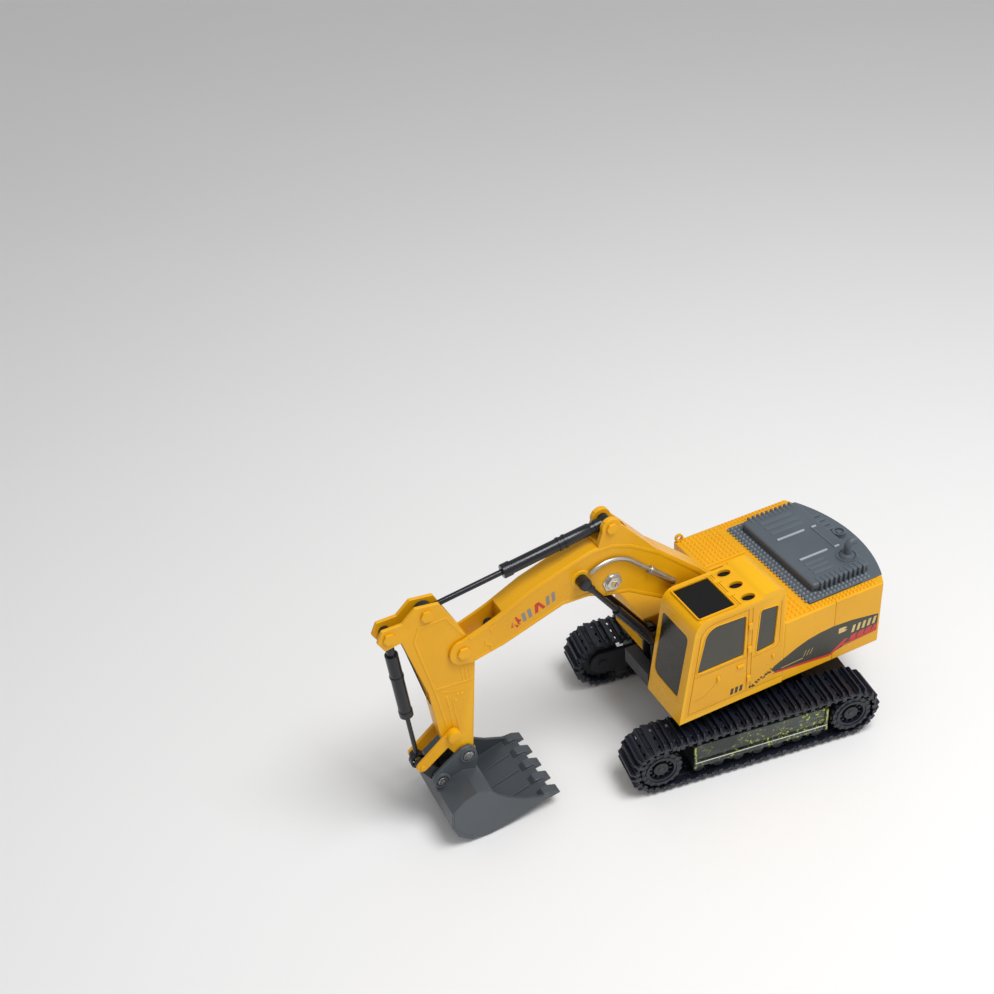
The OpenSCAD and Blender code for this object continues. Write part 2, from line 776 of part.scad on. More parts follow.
// Pins of the arm with hexagonal heads. The rocker turns on the middle one.
module arm_pins() {
    color(yellow) in_house() union() {
        cross_pin(arm_rear_pin, thin_pin_r, -arm_half - 1, arm_half + 1);
        cross_pin(arm_front_pin, small_pin_r, -arm_half - 1, arm_half + 1);
        cross_pin(rocker_pivot, tip_pin_r, -rocker_out - 1.4, rocker_out + 1.4);
        for (s = [-1, 1]) {
            scale([1, s, 1]) cross_hex(arm_rear_pin, 3.6, arm_half + 0.02, arm_half + 1.4);
            scale([1, s, 1]) cross_hex(arm_front_pin, 3.6, arm_half + 0.02, arm_half + 1.4);
            scale([1, s, 1]) cross_hex(rocker_pivot, 3.6, rocker_out + gap, rocker_out + 1.7);
        }
    }
}

// ---------- Bucket cylinder ----------

module bucket_cylinder_barrel() {
    a = arm_front_pin;
    b = rocker_end;
    color(black) in_house() difference() {
        union() {
            cross_pin(a, 3, -2.5, 2.5);
            along(a, b, 0) cylinder(r = bucket_neck_r, h = bucket_barrel_l, $fn = 32);
            along(a, b, 0) translate([0, 0, bucket_neck_l])
                cylinder(r = bucket_cyl_r, h = bucket_barrel_l - bucket_neck_l, $fn = 32);
            for (s = [[30, 1.6], [56, 4]]) {
                along(a, b, 0) translate([0, 0, s[0]]) cylinder(r = bucket_cyl_r + 0.3, h = s[1], $fn = 32);
            }
        }
        cross_pin(a, small_pin_r + run, -6, 6);
        along(a, b, 0) translate([0, 0, 7])
            cylinder(r = bucket_rod_r + slide_fit, h = bucket_barrel_l, $fn = 32);
    }
}

module bucket_cylinder_rod() {
    a = rocker_end;
    b = arm_front_pin;
    color(black) in_house() difference() {
        union() {
            along(a, b, 0) translate([0, 0, 4]) cylinder(r = bucket_rod_r, h = bucket_rod_l, $fn = 32);
            cross_pin(a, 4.8, -1.7, 1.7);
        }
        cross_pin(a, 3.7, -3, 3);
    }
}

// ---------- Bucket linkage ----------

rocker_in = arm_half + gap;
rocker_out = rocker_in + 2;
link_in = 2.4;
link_out = rocker_in - gap;
link_eye_r = 3.7;

module bar_plate(a, b, ra, rb) {
    hull() {
        translate(a) circle(r = ra, $fn = 32);
        translate(b) circle(r = rb, $fn = 32);
    }
}

module rocker_links() {
    color(yellow) in_house() difference() {
        union() {
            slab(rocker_in, rocker_out) bar_plate(rocker_pivot, rocker_end, 3.8, 3.2);
            slab(-rocker_out, -rocker_in) bar_plate(rocker_pivot, rocker_end, 3.8, 3.2);
            cross_pin(rocker_end, small_pin_r, -rocker_out - 0.9, rocker_out + 0.9);
        }
        cross_pin(rocker_pivot, tip_pin_r + run, -rocker_out - 1, rocker_out + 1);
    }
}

// H-shaped link between the rocker and the bucket
module bucket_link() {
    color(black) in_house() difference() {
        union() {
            slab(link_in, link_out) bar_plate(rocker_end, bucket_link_pin, 3.2, link_eye_r);
            slab(-link_out, -link_in) bar_plate(rocker_end, bucket_link_pin, 3.2, link_eye_r);
            translate([(rocker_end[0] + bucket_link_pin[0]) / 2 - 2.2, -link_in - 0.1,
                (rocker_end[1] + bucket_link_pin[1]) / 2 - 3.6]) cube([3, 2 * link_in + 0.2, 3]);
        }
        cross_pin(rocker_end, small_pin_r + run, -9, 9);
        cross_pin(bucket_link_pin, small_pin_r + 0.9, -9, 9);
    }
}

// ---------- Bucket ----------

function at_bucket(p) = bucket_pivot + p;
// Edge of the side plates, hollow between the back plate and the lip
bucket_mouth = [
    at_bucket([-4, -13]), at_bucket([-8.4, -19]), at_bucket([-14, -24]), at_bucket([-23, -30]),
    at_bucket([-34, -34.8]), at_bucket([-41, -36.2])
];
bucket_outer = [
    at_bucket([-41, -37.6]), at_bucket([-36, -38.4]), at_bucket([-14, -44.4]), at_bucket([0, -46.4]),
    at_bucket([11, -44.6]), at_bucket([18.4, -38.6]), at_bucket([21.6, -29]), at_bucket([20, -18.6]),
    at_bucket([12, -12.2]), at_bucket([4, -10])
];
// The bowl's room, drawn on past the mouth so that the mouth is open
bucket_inner = [
    at_bucket([-12, -17]), at_bucket([-43, -32]), at_bucket([-43, -35.2]), at_bucket([-35, -36.6]),
    at_bucket([-14, -42.2]), at_bucket([0, -44.2]), at_bucket([10.2, -42.6]), at_bucket([16.6, -37.4]),
    at_bucket([19.4, -28.8]), at_bucket([18, -20]), at_bucket([11, -14.4]), at_bucket([4, -12.4]),
    at_bucket([-6.6, -16.2])
];
bucket_half = bucket_w / 2;
ear_in = arm_half + gap;
ear_out = ear_in + 2.2;

module bucket() {
    color(slate) in_house() difference() {
        union() {
            slab(-bucket_half, bucket_half) difference() {
                polygon(concat(bucket_mouth, bucket_outer));
                polygon(bucket_inner);
            }
            for (s = [-1, 1]) {
                y = s * (bucket_half - 1);
                slab(y - 1, y + 1) polygon(concat(bucket_mouth, bucket_outer));
                e = s * (ear_in + ear_out) / 2;
                slab(e - 1.1, e + 1.1) polygon([
                    at_bucket([-5, 3]), at_bucket([-2, 6]), at_bucket([3, 6]), at_bucket([21, -6]),
                    at_bucket([22.6, -10]), at_bucket([20.2, -19.6]), at_bucket([12, -13.6]),
                    at_bucket([-4, -12.6]),
                    at_bucket([-6, -4])
                ]);
            }
            for (i = [0:tooth_count - 1]) {
                y = -bucket_half + 3.6 + i * (bucket_w - 7.2) / (tooth_count - 1);
                slab(y - 3, y + 3) polygon([
                    at_bucket([-46, -38.2]), at_bucket([-45.4, -36.6]), at_bucket([-40, -34.4]),
                    at_bucket([-36, -34.4]), at_bucket([-33, -37.3]), at_bucket([-36, -38.8]),
                    at_bucket([-40, -39.2])
                ]);
            }
        }
        cross_pin(bucket_pivot, small_pin_r + run, -9, 9);
        cross_pin(bucket_link_pin, small_pin_r + run, -9, 9);
        // Room for the link's lower eye
        cross_pin(bucket_link_pin, link_eye_r + 0.8, -ear_in - 0.1, ear_in + 0.1);
    }
}

// Cross-head screws that are the bucket's pins
module bucket_screws() {
    color(silver) in_house() for (p = [bucket_pivot, bucket_link_pin]) {
        cross_pin(p, small_pin_r, -ear_out - 0.5, ear_out + 0.5);
        cross_pin(p, 3, ear_out + 0.02, ear_out + 1.1);
        cross_pin(p, 3, -ear_out - 1.1, -ear_out - 0.02);
    }
}

chassis_tub();
belly_plate();
battery_pack();
chassis_screws();
drive_gearbox_left();
drive_gearbox_right();
drive_motor_left();
drive_motor_right();
track_frame_left();
track_frame_right();
track_cover_left();
track_cover_right();
track_belt_left();
track_belt_right();
drive_wheel_left();
drive_wheel_right();
idler_wheel_left();
idler_wheel_right();
slew_ring();
house_pan();
house_shell();
engine_cover();
exhaust_stack();
filler_knob();
cab_shell();
windscreen();
roof_window();
door_window();
rear_side_window();
right_window();
roof_vents();
receiver_board();
slew_motor();
house_screws();
boom_foot_pin();
boom_left_half();
boom_right_half();
boom_pipe_left();
boom_pipe_right();
boom_bolt();
boom_pins();
lift_rod_left();
lift_rod_right();
lift_barrel_left();
lift_barrel_right();
arm_cylinder_barrel();
arm_cylinder_rod();
arm_left_half();
arm_right_half();
arm_pins();
bucket_cylinder_barrel();
bucket_cylinder_rod();
rocker_links();
bucket_link();
bucket();
bucket_screws();
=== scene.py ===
import json
import math
import random

import bmesh
import bpy
from mathutils import Matrix, Vector

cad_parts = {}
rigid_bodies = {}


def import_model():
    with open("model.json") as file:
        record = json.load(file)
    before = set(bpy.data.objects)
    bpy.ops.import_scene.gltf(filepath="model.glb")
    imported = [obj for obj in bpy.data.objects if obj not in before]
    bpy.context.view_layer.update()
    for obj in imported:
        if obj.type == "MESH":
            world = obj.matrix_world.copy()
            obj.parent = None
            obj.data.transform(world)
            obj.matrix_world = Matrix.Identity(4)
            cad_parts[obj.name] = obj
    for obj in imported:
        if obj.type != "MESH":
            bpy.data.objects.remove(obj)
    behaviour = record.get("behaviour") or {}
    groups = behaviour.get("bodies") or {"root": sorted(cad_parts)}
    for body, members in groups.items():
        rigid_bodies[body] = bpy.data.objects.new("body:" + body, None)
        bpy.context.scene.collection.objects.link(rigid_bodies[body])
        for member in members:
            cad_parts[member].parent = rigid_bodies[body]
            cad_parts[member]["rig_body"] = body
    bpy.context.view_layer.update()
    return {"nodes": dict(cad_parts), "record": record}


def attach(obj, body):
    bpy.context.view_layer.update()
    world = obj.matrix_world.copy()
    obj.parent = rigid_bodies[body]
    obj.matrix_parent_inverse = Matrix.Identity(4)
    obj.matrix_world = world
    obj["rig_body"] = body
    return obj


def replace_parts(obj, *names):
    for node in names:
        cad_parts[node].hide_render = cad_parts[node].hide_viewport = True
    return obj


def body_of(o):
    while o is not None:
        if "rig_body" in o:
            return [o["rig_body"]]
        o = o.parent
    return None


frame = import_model()

# Lengths below are millimetres from the slew axis on the ground. The tracks are drawn along x, and
# everything above them in the frame of the house, which stands turned by SLEW.
MM = 0.001
SLEW_X = -55.0
SLEW = math.radians(8.6)
TRACKS = Matrix.Translation((SLEW_X * MM, 0, 0)) @ Matrix.Scale(MM, 4)
HOUSE = Matrix.Translation((SLEW_X * MM, 0, 0)) @ Matrix.Rotation(SLEW, 4, "Z") @ Matrix.Scale(MM, 4)
scene = bpy.context.scene


# ---------- Camera ----------

SENSOR = 36          # width of the sensor, in mm
LENS = 46.0938       # focal length, in mm
AZ, EL, ROLL = math.radians(166.58), math.radians(35.62), math.radians(-6.0)
EYE = Vector((194.2, 519.6, 574.0)) * MM


def add_camera():
    """The camera looks down along azimuth AZ and elevation EL, and is rolled by ROLL."""
    look = Vector((-math.sin(AZ) * math.cos(EL), math.cos(AZ) * math.cos(EL), -math.sin(EL)))
    right = look.cross(Vector((0, 0, 1))).normalized()
    up = right.cross(look)
    rolled_right = right * math.cos(ROLL) + up * math.sin(ROLL)
    rolled_up = -right * math.sin(ROLL) + up * math.cos(ROLL)
    cam = bpy.data.objects.new("camera", bpy.data.cameras.new("camera"))
    scene.collection.objects.link(cam)
    axes = Matrix((rolled_right, rolled_up, -look)).transposed()
    cam.matrix_world = Matrix.Translation(EYE) @ axes.to_4x4()
    cam.data.sensor_width = SENSOR
    cam.data.lens = LENS
    cam.data.clip_start, cam.data.clip_end = 0.01, 20
    scene.camera = cam


add_camera()


# ---------- Materials ----------

class Nodes:
    """A Principled material and short ways to add the nodes that vary it."""

    def __init__(self, name, colour, roughness, metallic=0.0, **sockets):
        self.mat = bpy.data.materials.new(name)
        self.mat.use_nodes = True
        self.tree = self.mat.node_tree
        self.bsdf = self.tree.nodes["Principled BSDF"]
        self.bsdf.inputs["Base Color"].default_value = (*colour, 1)
        self.bsdf.inputs["Roughness"].default_value = roughness
        self.bsdf.inputs["Metallic"].default_value = metallic
        for key, value in sockets.items():
            self.bsdf.inputs[key.replace("_", " ")].default_value = value
        self.coord = self.tree.nodes.new("ShaderNodeTexCoord").outputs["Object"]

    def add(self, kind, **values):
        node = self.tree.nodes.new("ShaderNode" + kind)
        for key, value in values.items():
            if key in node.inputs:
                node.inputs[key].default_value = value
            else:
                setattr(node, key, value)
        return node

    def link(self, a, b):
        self.tree.links.new(a, b)

    def noise(self, scale, detail=3.0, rough=0.5):
        n = self.add("TexNoise", Scale=scale, Detail=detail, Roughness=rough)
        self.link(self.coord, n.inputs["Vector"])
        return n.outputs["Fac"]

    def range(self, value, from_low, from_high, to_low, to_high):
        n = self.add("MapRange")
        for i, v in enumerate((from_low, from_high, to_low, to_high)):
            n.inputs[i + 1].default_value = v
        self.link(value, n.inputs[0])
        return n.outputs[0]

    def mix(self, factor, a, b):
        """Mix a and b. Each of the three is a number, a colour or a node's output."""
        n = self.add("Mix", data_type="RGBA")
        for socket, value in ((n.inputs[0], factor), (n.inputs[6], a), (n.inputs[7], b)):
            if isinstance(value, (int, float)):
                socket.default_value = value
            elif isinstance(value, tuple):
                socket.default_value = (*value, 1)
            else:
                self.link(value, socket)
        return n.outputs[2]

    def colour(self, out):
        self.link(out, self.bsdf.inputs["Base Color"])

    def rough(self, out):
        self.link(out, self.bsdf.inputs["Roughness"])

    def bump(self, *heights):
        """heights: pairs of a height output and its depth in metres."""
        normal = None
        for out, depth in heights:
            b = self.add("Bump", Strength=1.0, Distance=depth)
            self.link(out, b.inputs["Height"])
            if normal:
                self.link(normal, b.inputs["Normal"])
            normal = b.outputs[0]
        self.link(normal, self.bsdf.inputs["Normal"])


def shade(colour, k):
    return tuple(min(1, c * k) for c in colour)


def plastic(name, colour, roughness, spread=0.08, grain=0.00004, wear_and_highlight=0.0, **sockets):
    """Moulded plastic: cloudy colour, uneven gloss, fine grain, and lighter edges, partly rubbed wear and
    partly a painted highlight.
    """
    m = Nodes(name, colour, roughness, **sockets)
    cloud = m.noise(34, 4)
    out = m.mix(m.range(cloud, 0.3, 0.7, 0, 1), shade(colour, 1 - spread), shade(colour, 1 + spread))
    speck = m.noise(900, 2)
    out = m.mix(m.range(speck, 0.62, 0.75, 0, 0.25), out, shade(colour, 1.25))
    if wear_and_highlight:
        # Lighter where the mesh is pointy: some rubbed wear, and also a painted highlight along the rounded
        # edges
        edge = m.add("NewGeometry").outputs["Pointiness"]
        out = m.mix(m.range(edge, 0.515, 0.6, 0, wear_and_highlight), out, shade(colour, 1.6))
    m.colour(out)
    smear = m.noise(70, 5, 0.6)
    m.rough(m.range(smear, 0.3, 0.7, roughness - 0.06, roughness + 0.08))
    m.bump((m.noise(2600, 2), grain), (m.noise(55, 2), 0.00004))
    return m.mat


YELLOW = (0.74, 0.355, 0.004)
SLATE = (0.075, 0.092, 0.112)
FINE = 0.00002       # depth of the grain on printed and glazed faces
yellow = plastic("yellow_moulded", YELLOW, 0.30, 0.05, wear_and_highlight=0.35, Specular_IOR_Level=0.32)
slate = plastic("slate_moulded", SLATE, 0.42, 0.1, wear_and_highlight=0.5)
bucket_grey = plastic("bucket_moulded", (0.058, 0.068, 0.078), 0.34, 0.12, wear_and_highlight=0.6)
black = plastic("black_moulded", (0.009, 0.010, 0.014), 0.24, 0.2, wear_and_highlight=0.3, Specular_IOR_Level=0.4)
black_matt = plastic("black_satin", (0.013, 0.014, 0.018), 0.5, 0.2, wear_and_highlight=0.3)
rubber = plastic("track_soft", (0.009, 0.011, 0.019), 0.34, 0.25, grain=0.00008, wear_and_highlight=0.35)
window = plastic("window_print", (0.040, 0.036, 0.024), 0.33, 0.12, grain=FINE)
window_front = plastic("screen_print", (0.022, 0.018, 0.011), 0.24, 0.12, FINE, Specular_IOR_Level=0.4)
window_dark = plastic("roof_print", (0.004, 0.004, 0.004), 0.22, 0.12, FINE, Specular_IOR_Level=0.25)


def metal(name, colour, roughness):
    m = Nodes(name, colour, roughness, metallic=1.0)
    brushed = m.noise(1400, 2)
    m.colour(m.mix(m.range(m.noise(120, 3), 0.3, 0.7, 0, 1), shade(colour, 0.85), shade(colour, 1.1)))
    m.rough(m.range(brushed, 0.3, 0.7, roughness - 0.05, roughness + 0.1))
    m.bump((brushed, 0.000012))
    return m.mat


chrome = metal("bright_plated", (0.62, 0.60, 0.56), 0.22)
steel = metal("screw_steel", (0.36, 0.36, 0.37), 0.34)
dull_pipe = metal("pipe_plated", (0.50, 0.47, 0.42), 0.34)
brass = metal("bolt_end_brass", (0.62, 0.42, 0.14), 0.3)


def smoked_cover():
    """Smoked side panel with a yellow-green splatter printed behind it."""
    m = Nodes("smoked_splatter", (0.012, 0.016, 0.014), 0.16)
    blotch = m.range(m.noise(80, 2, 0.4), 0.40, 0.54, 0, 1)
    spots = m.range(m.noise(480, 6, 0.75), 0.55, 0.61, 0, 1)
    both = m.add("Math", operation="MULTIPLY")
    m.link(blotch, both.inputs[0])
    m.link(spots, both.inputs[1])
    haze = m.mix(m.range(m.noise(60, 3), 0.35, 0.7, 0, 1), (0.008, 0.011, 0.010), (0.045, 0.060, 0.052))
    m.colour(m.mix(both.outputs[0], haze, (0.50, 0.54, 0.02)))
    m.rough(m.range(m.noise(200, 4), 0.3, 0.7, 0.08, 0.22))
    m.bump((m.noise(160, 3), 0.00008))
    return m.mat


def splatter_rim():
    m = Nodes("splatter_edge", (0.05, 0.06, 0.02), 0.2, Coat_Weight=0.5, Coat_Roughness=0.08)
    spots = m.range(m.noise(420, 4, 0.6), 0.44, 0.56, 0, 1)
    m.colour(m.mix(spots, (0.02, 0.025, 0.018), (0.40, 0.44, 0.04)))
    m.bump((m.noise(300, 3), 0.00006))
    return m.mat


smoked = smoked_cover()
splatter_edge = splatter_rim()
clear_edge = plastic("clear_edge", (0.62, 0.66, 0.60), 0.12, 0.2, Coat_Weight=0.5, Coat_Roughness=0.05)
board_green = plastic("board_green", (0.02, 0.14, 0.06), 0.5)
# Lighter slate for the hood bars: a painted highlight on their raised tops
slate_painted_light = plastic("slate_painted_highlight", (0.30, 0.34, 0.37), 0.34, 0.15, wear_and_highlight=0.4)
# Stud colours lighter than the plates they stand on: a painted highlight for the glint on each stud's top
stud_grey_painted_highlight = plastic("stud_grey_painted_highlight", (0.19, 0.22, 0.25), 0.24, 0.1)
stud_yellow_painted_highlight = plastic("stud_yellow_painted_highlight", shade(YELLOW, 1.18), 0.22, 0.05)
ink_dark = plastic("print_dark", (0.030, 0.028, 0.018), 0.38, 0.1, grain=FINE)
ink_red = plastic("print_red", (0.55, 0.02, 0.012), 0.38, 0.1, grain=FINE)
ink_gold = plastic("print_gold", (0.62, 0.45, 0.16), 0.4, 0.1, grain=FINE)
ink_grey = plastic("print_grey", (0.24, 0.22, 0.20), 0.4, 0.1, grain=FINE)


# ---------- Driving sizes ----------

HALF = 47.7          # half width of the house
DECK = 92.0          # deck height
ROOF = 117.0         # cab roof height
HOOD_TOP = DECK + 6.5
BAY = 13.4           # half width of the boom's bay
BOOM = 7.0           # half width of the boom
ARM = 5.0            # half width of the arm
SEAM_X = -48.0       # seam between the middle and rear side panels
REAR_CENTRE = (-6.73, 0)
REAR_R = 88.27       # radius of the curved rear of the house

# Pins, each by its (x, z)
LIFT_PIN = (91.5, 140.5)
LIFT_Y = 10.2        # distance of the lift cylinders from the middle plane
BOLT = (72.5, 130.5)
BARREL_PIN = Vector((71.5, 166.5))
ARM_REAR_PIN = Vector((178.5, 152.5))
ROCKER_PIN = (174.3, 66.1)
BUCKET_PIN = (168, 47.3)
LINK_PIN = (185, 36)

ROOT = 0.3           # how far raised trim starts below the wall that it stands on
SUNK = 0.1           # the same for printed marks
PRINT = 0.07         # thickness of a printed mark
PANE_BACK, PANE_FACE = 1.9, 0.3      # how deep a window pane's two faces lie


# ---------- Meshes ----------

BEVEL_WEIGHT = "bevel_weight_edge"
# How a point p of an outline and a height t along the named axis make a point in space
PLACE = {
    "x": lambda p, t: (t, p[0], p[1]),
    "y": lambda p, t: (p[0], t, p[1]),
    "z": lambda p, t: (p[0], p[1], t),
}


def to_object(name, bm, body, mat, space=None):
    """Make an object of a built mesh, and tie it to its body."""
    if space:
        bm.transform(space)
    bmesh.ops.recalc_face_normals(bm, faces=bm.faces)
    me = bpy.data.meshes.new(name)
    bm.to_mesh(me)
    bm.free()
    me.materials.append(mat)
    ob = bpy.data.objects.new(name, me)
    scene.collection.objects.link(ob)
    me.shade_smooth()
    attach(ob, body)
    return ob


def bevelled(ob, width, segments=2, weights=False, angle=30, clamp=True):
    """Round the object's sharp edges, or with weights those that have a bevel weight."""
    mod = ob.modifiers.new("edges", "BEVEL")
    mod.width = width * MM
    mod.segments = segments
    mod.limit_method = "WEIGHT" if weights else "ANGLE"
    mod.angle_limit = math.radians(angle)
    mod.use_clamp_overlap = clamp
    even_normals(ob)


def even_normals(ob):
    """Keep the shading of large flat faces flat."""
    mod = ob.modifiers.new("normals", "WEIGHTED_NORMAL")
    mod.keep_sharp = True
    mod.weight = 80


def node_body(node):
    return body_of(frame["nodes"][node])[0]


def node_slot(node):
    return next(p["material_slot"] for p in frame["record"]["subparts"] if p["node"] == node)


def fix_modifiers(ob):
    """Apply all of the object's modifiers to its mesh."""
    depsgraph = bpy.context.evaluated_depsgraph_get()
    mesh = bpy.data.meshes.new_from_object(ob.evaluated_get(depsgraph))
    ob.modifiers.clear()
    ob.data = mesh


def carve(ob, *builds):
    """Fix the object's modifiers into its mesh, then take each closed shape away from it."""
    fix_modifiers(ob)
    for build in builds:
        bm = bmesh.new()
        build(bm)
        bmesh.ops.recalc_face_normals(bm, faces=bm.faces)
        bm.transform(HOUSE)
        tool_mesh = bpy.data.meshes.new("tool")
        bm.to_mesh(tool_mesh)
        bm.free()
        tool = bpy.data.objects.new("tool", tool_mesh)
        scene.collection.objects.link(tool)
        mod = ob.modifiers.new("cut", "BOOLEAN")
        mod.operation = "DIFFERENCE"
        mod.solver = "EXACT"
        mod.use_self = True
        mod.object = tool
        fix_modifiers(ob)
        bpy.data.objects.remove(tool)
    while len(ob.data.materials) > 1:
        ob.data.materials.pop()
    sharpen(ob.data)
    even_normals(ob)


def sharpen(me, angle=32):
    """Shade smoothly, except over edges that turn by more than the angle."""
    me.shade_smooth()
    me.set_sharp_from_angle(angle=math.radians(angle))


def rounded(node, mat, width=0.3, segments=2, least=28, clamp=True):
    """A copy of a CAD node whose edges that turn by more than least degrees are rounded."""
    bm = bmesh.new()
    bm.from_mesh(frame["nodes"][node].data)
    bmesh.ops.remove_doubles(bm, verts=bm.verts, dist=0.000002)
    bmesh.ops.dissolve_limit(bm, angle_limit=math.radians(0.8), verts=bm.verts, edges=bm.edges)
    layer = bm.edges.layers.float.new(BEVEL_WEIGHT)
    for e in bm.edges:
        if len(e.link_faces) == 2 and e.calc_face_angle(0) > math.radians(least):
            e[layer] = 1.0
    ob = to_object(node + "_form", bm, node_body(node), mat)
    bevelled(ob, width, segments, True, clamp=clamp)
    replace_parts(ob, node)
    return ob


def span(side, a, b):
    """Two distances from the middle plane, on one side of it (1 left, -1 right), in rising order."""
    return sorted((side * a, side * b))


def side_name(side):
    return "left" if side > 0 else "right"


def skin(bm, loops, ends=True):
    """Join each loop of vertices to the next with faces, and close the first and the last."""
    if ends:
        bm.faces.new(loops[0])
        bm.faces.new(loops[-1])
    n = len(loops[0])
    for a, b in zip(loops, loops[1:]):
        for k in range(n):
            m = (k + 1) % n
            bm.faces.new((a[k], a[m], b[m], b[k]))


def prism(bm, outline, lo, hi, axis="y"):
    """Extrude an outline. Along y its points are (x, z), along z (x, y), along x (y, z)."""
    skin(bm, [[bm.verts.new(PLACE[axis](p, t)) for p in outline] for t in (lo, hi)])


def bar(bm, x0, x1, y0, y1, z0, z1):
    prism(bm, [(x0, y0), (x1, y0), (x1, y1), (x0, y1)], z0, z1, "z")


def strip(bm, points, width, lo, hi, axis="y", closed=False):
    """A flat strip of one width that follows a line, with mitred corners."""
    pts = [Vector(p) for p in points]
    n = len(pts)
    left, right = [], []
    for k, p in enumerate(pts):
        a = pts[k - 1] if k or closed else None
        b = pts[(k + 1) % n] if k < n - 1 or closed else None
        d1 = (p - a).normalized() if a is not None else (b - p).normalized()
        d2 = (b - p).normalized() if b is not None else d1
        t = (d1 + d2).normalized()
        side = Vector((-t.y, t.x)) * (width / 2 / max(0.35, t.dot(d1)))
        left.append(p + side)
        right.append(p - side)
    if not closed:
        prism(bm, left + right[::-1], lo, hi, axis)
        return
    for k in range(n):
        m = (k + 1) % n
        prism(bm, [left[k], left[m], right[m], right[k]], lo, hi, axis)


def ring_points(c, r, n, a0=0.0, a1=360.0, squash=1.0):
    """Points round a circle, an arc of it, or an ellipse squashed in its second direction."""
    steps = n if abs(a1 - a0) >= 360 else n - 1
    return [(c[0] + r * math.cos(math.radians(a0 + (a1 - a0) * k / steps)),
             c[1] + r * squash * math.sin(math.radians(a0 + (a1 - a0) * k / steps))) for k in range(n)]


def disc(bm, c, r, lo, hi, axis="y", n=32, soft=0.25):
    """A round boss whose outer rim, at hi, is rounded."""
    step = soft if hi > lo else -soft
    rings = [(r, lo), (r, hi - step), (r - soft * 0.3, hi - step * 0.3), (r - soft, hi)]
    skin(bm, [[bm.verts.new(PLACE[axis](p, t)) for p in ring_points(c, q, n)] for q, t in rings])


def tube(bm, path, y, n=20):
    """A round pipe in a plane of constant y. path lists (x, z, radius)."""
    loops = []
    for k, (x, z, r) in enumerate(path):
        back = next((Vector(q[:2]) for q in reversed(path[:k]) if q[:2] != (x, z)), None)
        ahead = next((Vector(q[:2]) for q in path[k + 1:] if q[:2] != (x, z)), None)
        here = Vector((x, z))
        way = ((ahead or here) - (back or here)).normalized()
        ring = ring_points((0, 0), r, n)
        loops.append([bm.verts.new((x - way.y * u, y + v, z + way.x * u)) for u, v in ring])
    skin(bm, loops)


def stud(bm, x, y, z, base=1.0, top=0.4, high=0.95, sides=8):
    """One raised point of the non-slip deck pattern."""
    rings = ((base, 0), (base * 0.8, high * 0.62), (top, high))
    skin(bm, [[bm.verts.new((*p, z + h)) for p in ring_points((x, y), r, sides)] for r, h in rings])


def piece(name, build, body, mat, edge=0.0, space=HOUSE, segments=2, clamp=True):
    """Make a new object from build(bm), drawn in millimetres in the given frame."""
    bm = bmesh.new()
    build(bm)
    ob = to_object(name, bm, body, mat, space)
    if edge:
        bevelled(ob, edge, segments, clamp=clamp)
    else:
        sharpen(ob.data)
    return ob


# ---------- CAD nodes: finish, and rounded copies ----------

MATERIAL_OF_SLOT = {
    "yellow_plastic": yellow, "slate_plastic": slate, "tinted_window": window, "smoked_plastic": smoked,
    "track_rubber": rubber, "bright_metal": chrome, "gloss_black_plastic": black,
    "matt_black_plastic": black_matt, "electronics": board_green,
}
for name, ob in frame["nodes"].items():
    if not ob.material_slots:
        ob.data.materials.append(None)
    for s in ob.material_slots:
        s.material = MATERIAL_OF_SLOT[node_slot(name)]


def fillet(points, radii, steps=6):
    """Round the corners of a closed outline. radii is one number or one for each corner."""
    pts = [Vector(p) for p in points]
    n = len(pts)
    if isinstance(radii, (int, float)):
        radii = [radii] * n
    out = []
    for k, p in enumerate(pts):
        a, b = (pts[k - 1] - p), (pts[(k + 1) % n] - p)
        r = radii[k]
        if r <= 0:
            out.append(tuple(p))
            continue
        half = a.angle(b) / 2
        reach = min(r / math.tan(half), a.length * 0.48, b.length * 0.48)
        r = reach * math.tan(half)
        centre = p + (a.normalized() + b.normalized()).normalized() * (r / math.sin(half))
        start, end = p + a.normalized() * reach - centre, p + b.normalized() * reach - centre
        turn = start.angle_signed(end)
        for q in range(steps + 1):
            c, d = math.cos(-turn * q / steps), math.sin(-turn * q / steps)
            out.append((centre.x + start.x * c - start.y * d, centre.y + start.x * d + start.y * c))
    return out


def grown(outline, by):
    """The outline pushed outwards by a distance."""
    pts = [Vector(p) for p in outline]
    n = len(pts)
    area = sum(p.x * pts[(k + 1) % n].y - pts[(k + 1) % n].x * p.y for k, p in enumerate(pts))
    out = []
    for k, p in enumerate(pts):
        d1, d2 = (p - pts[k - 1]).normalized(), (pts[(k + 1) % n] - p).normalized()
        n1, n2 = Vector((d1.y, -d1.x)), Vector((d2.y, -d2.x))
        both = (n1 + n2).normalized()
        out.append(tuple(p + both * (by / both.dot(n1)) * (1 if area > 0 else -1)))
    return out


def ring_box(x0, x1, y0, y1):
    return [(x0, y0), (x1, y0), (x1, y1), (x0, y1)]


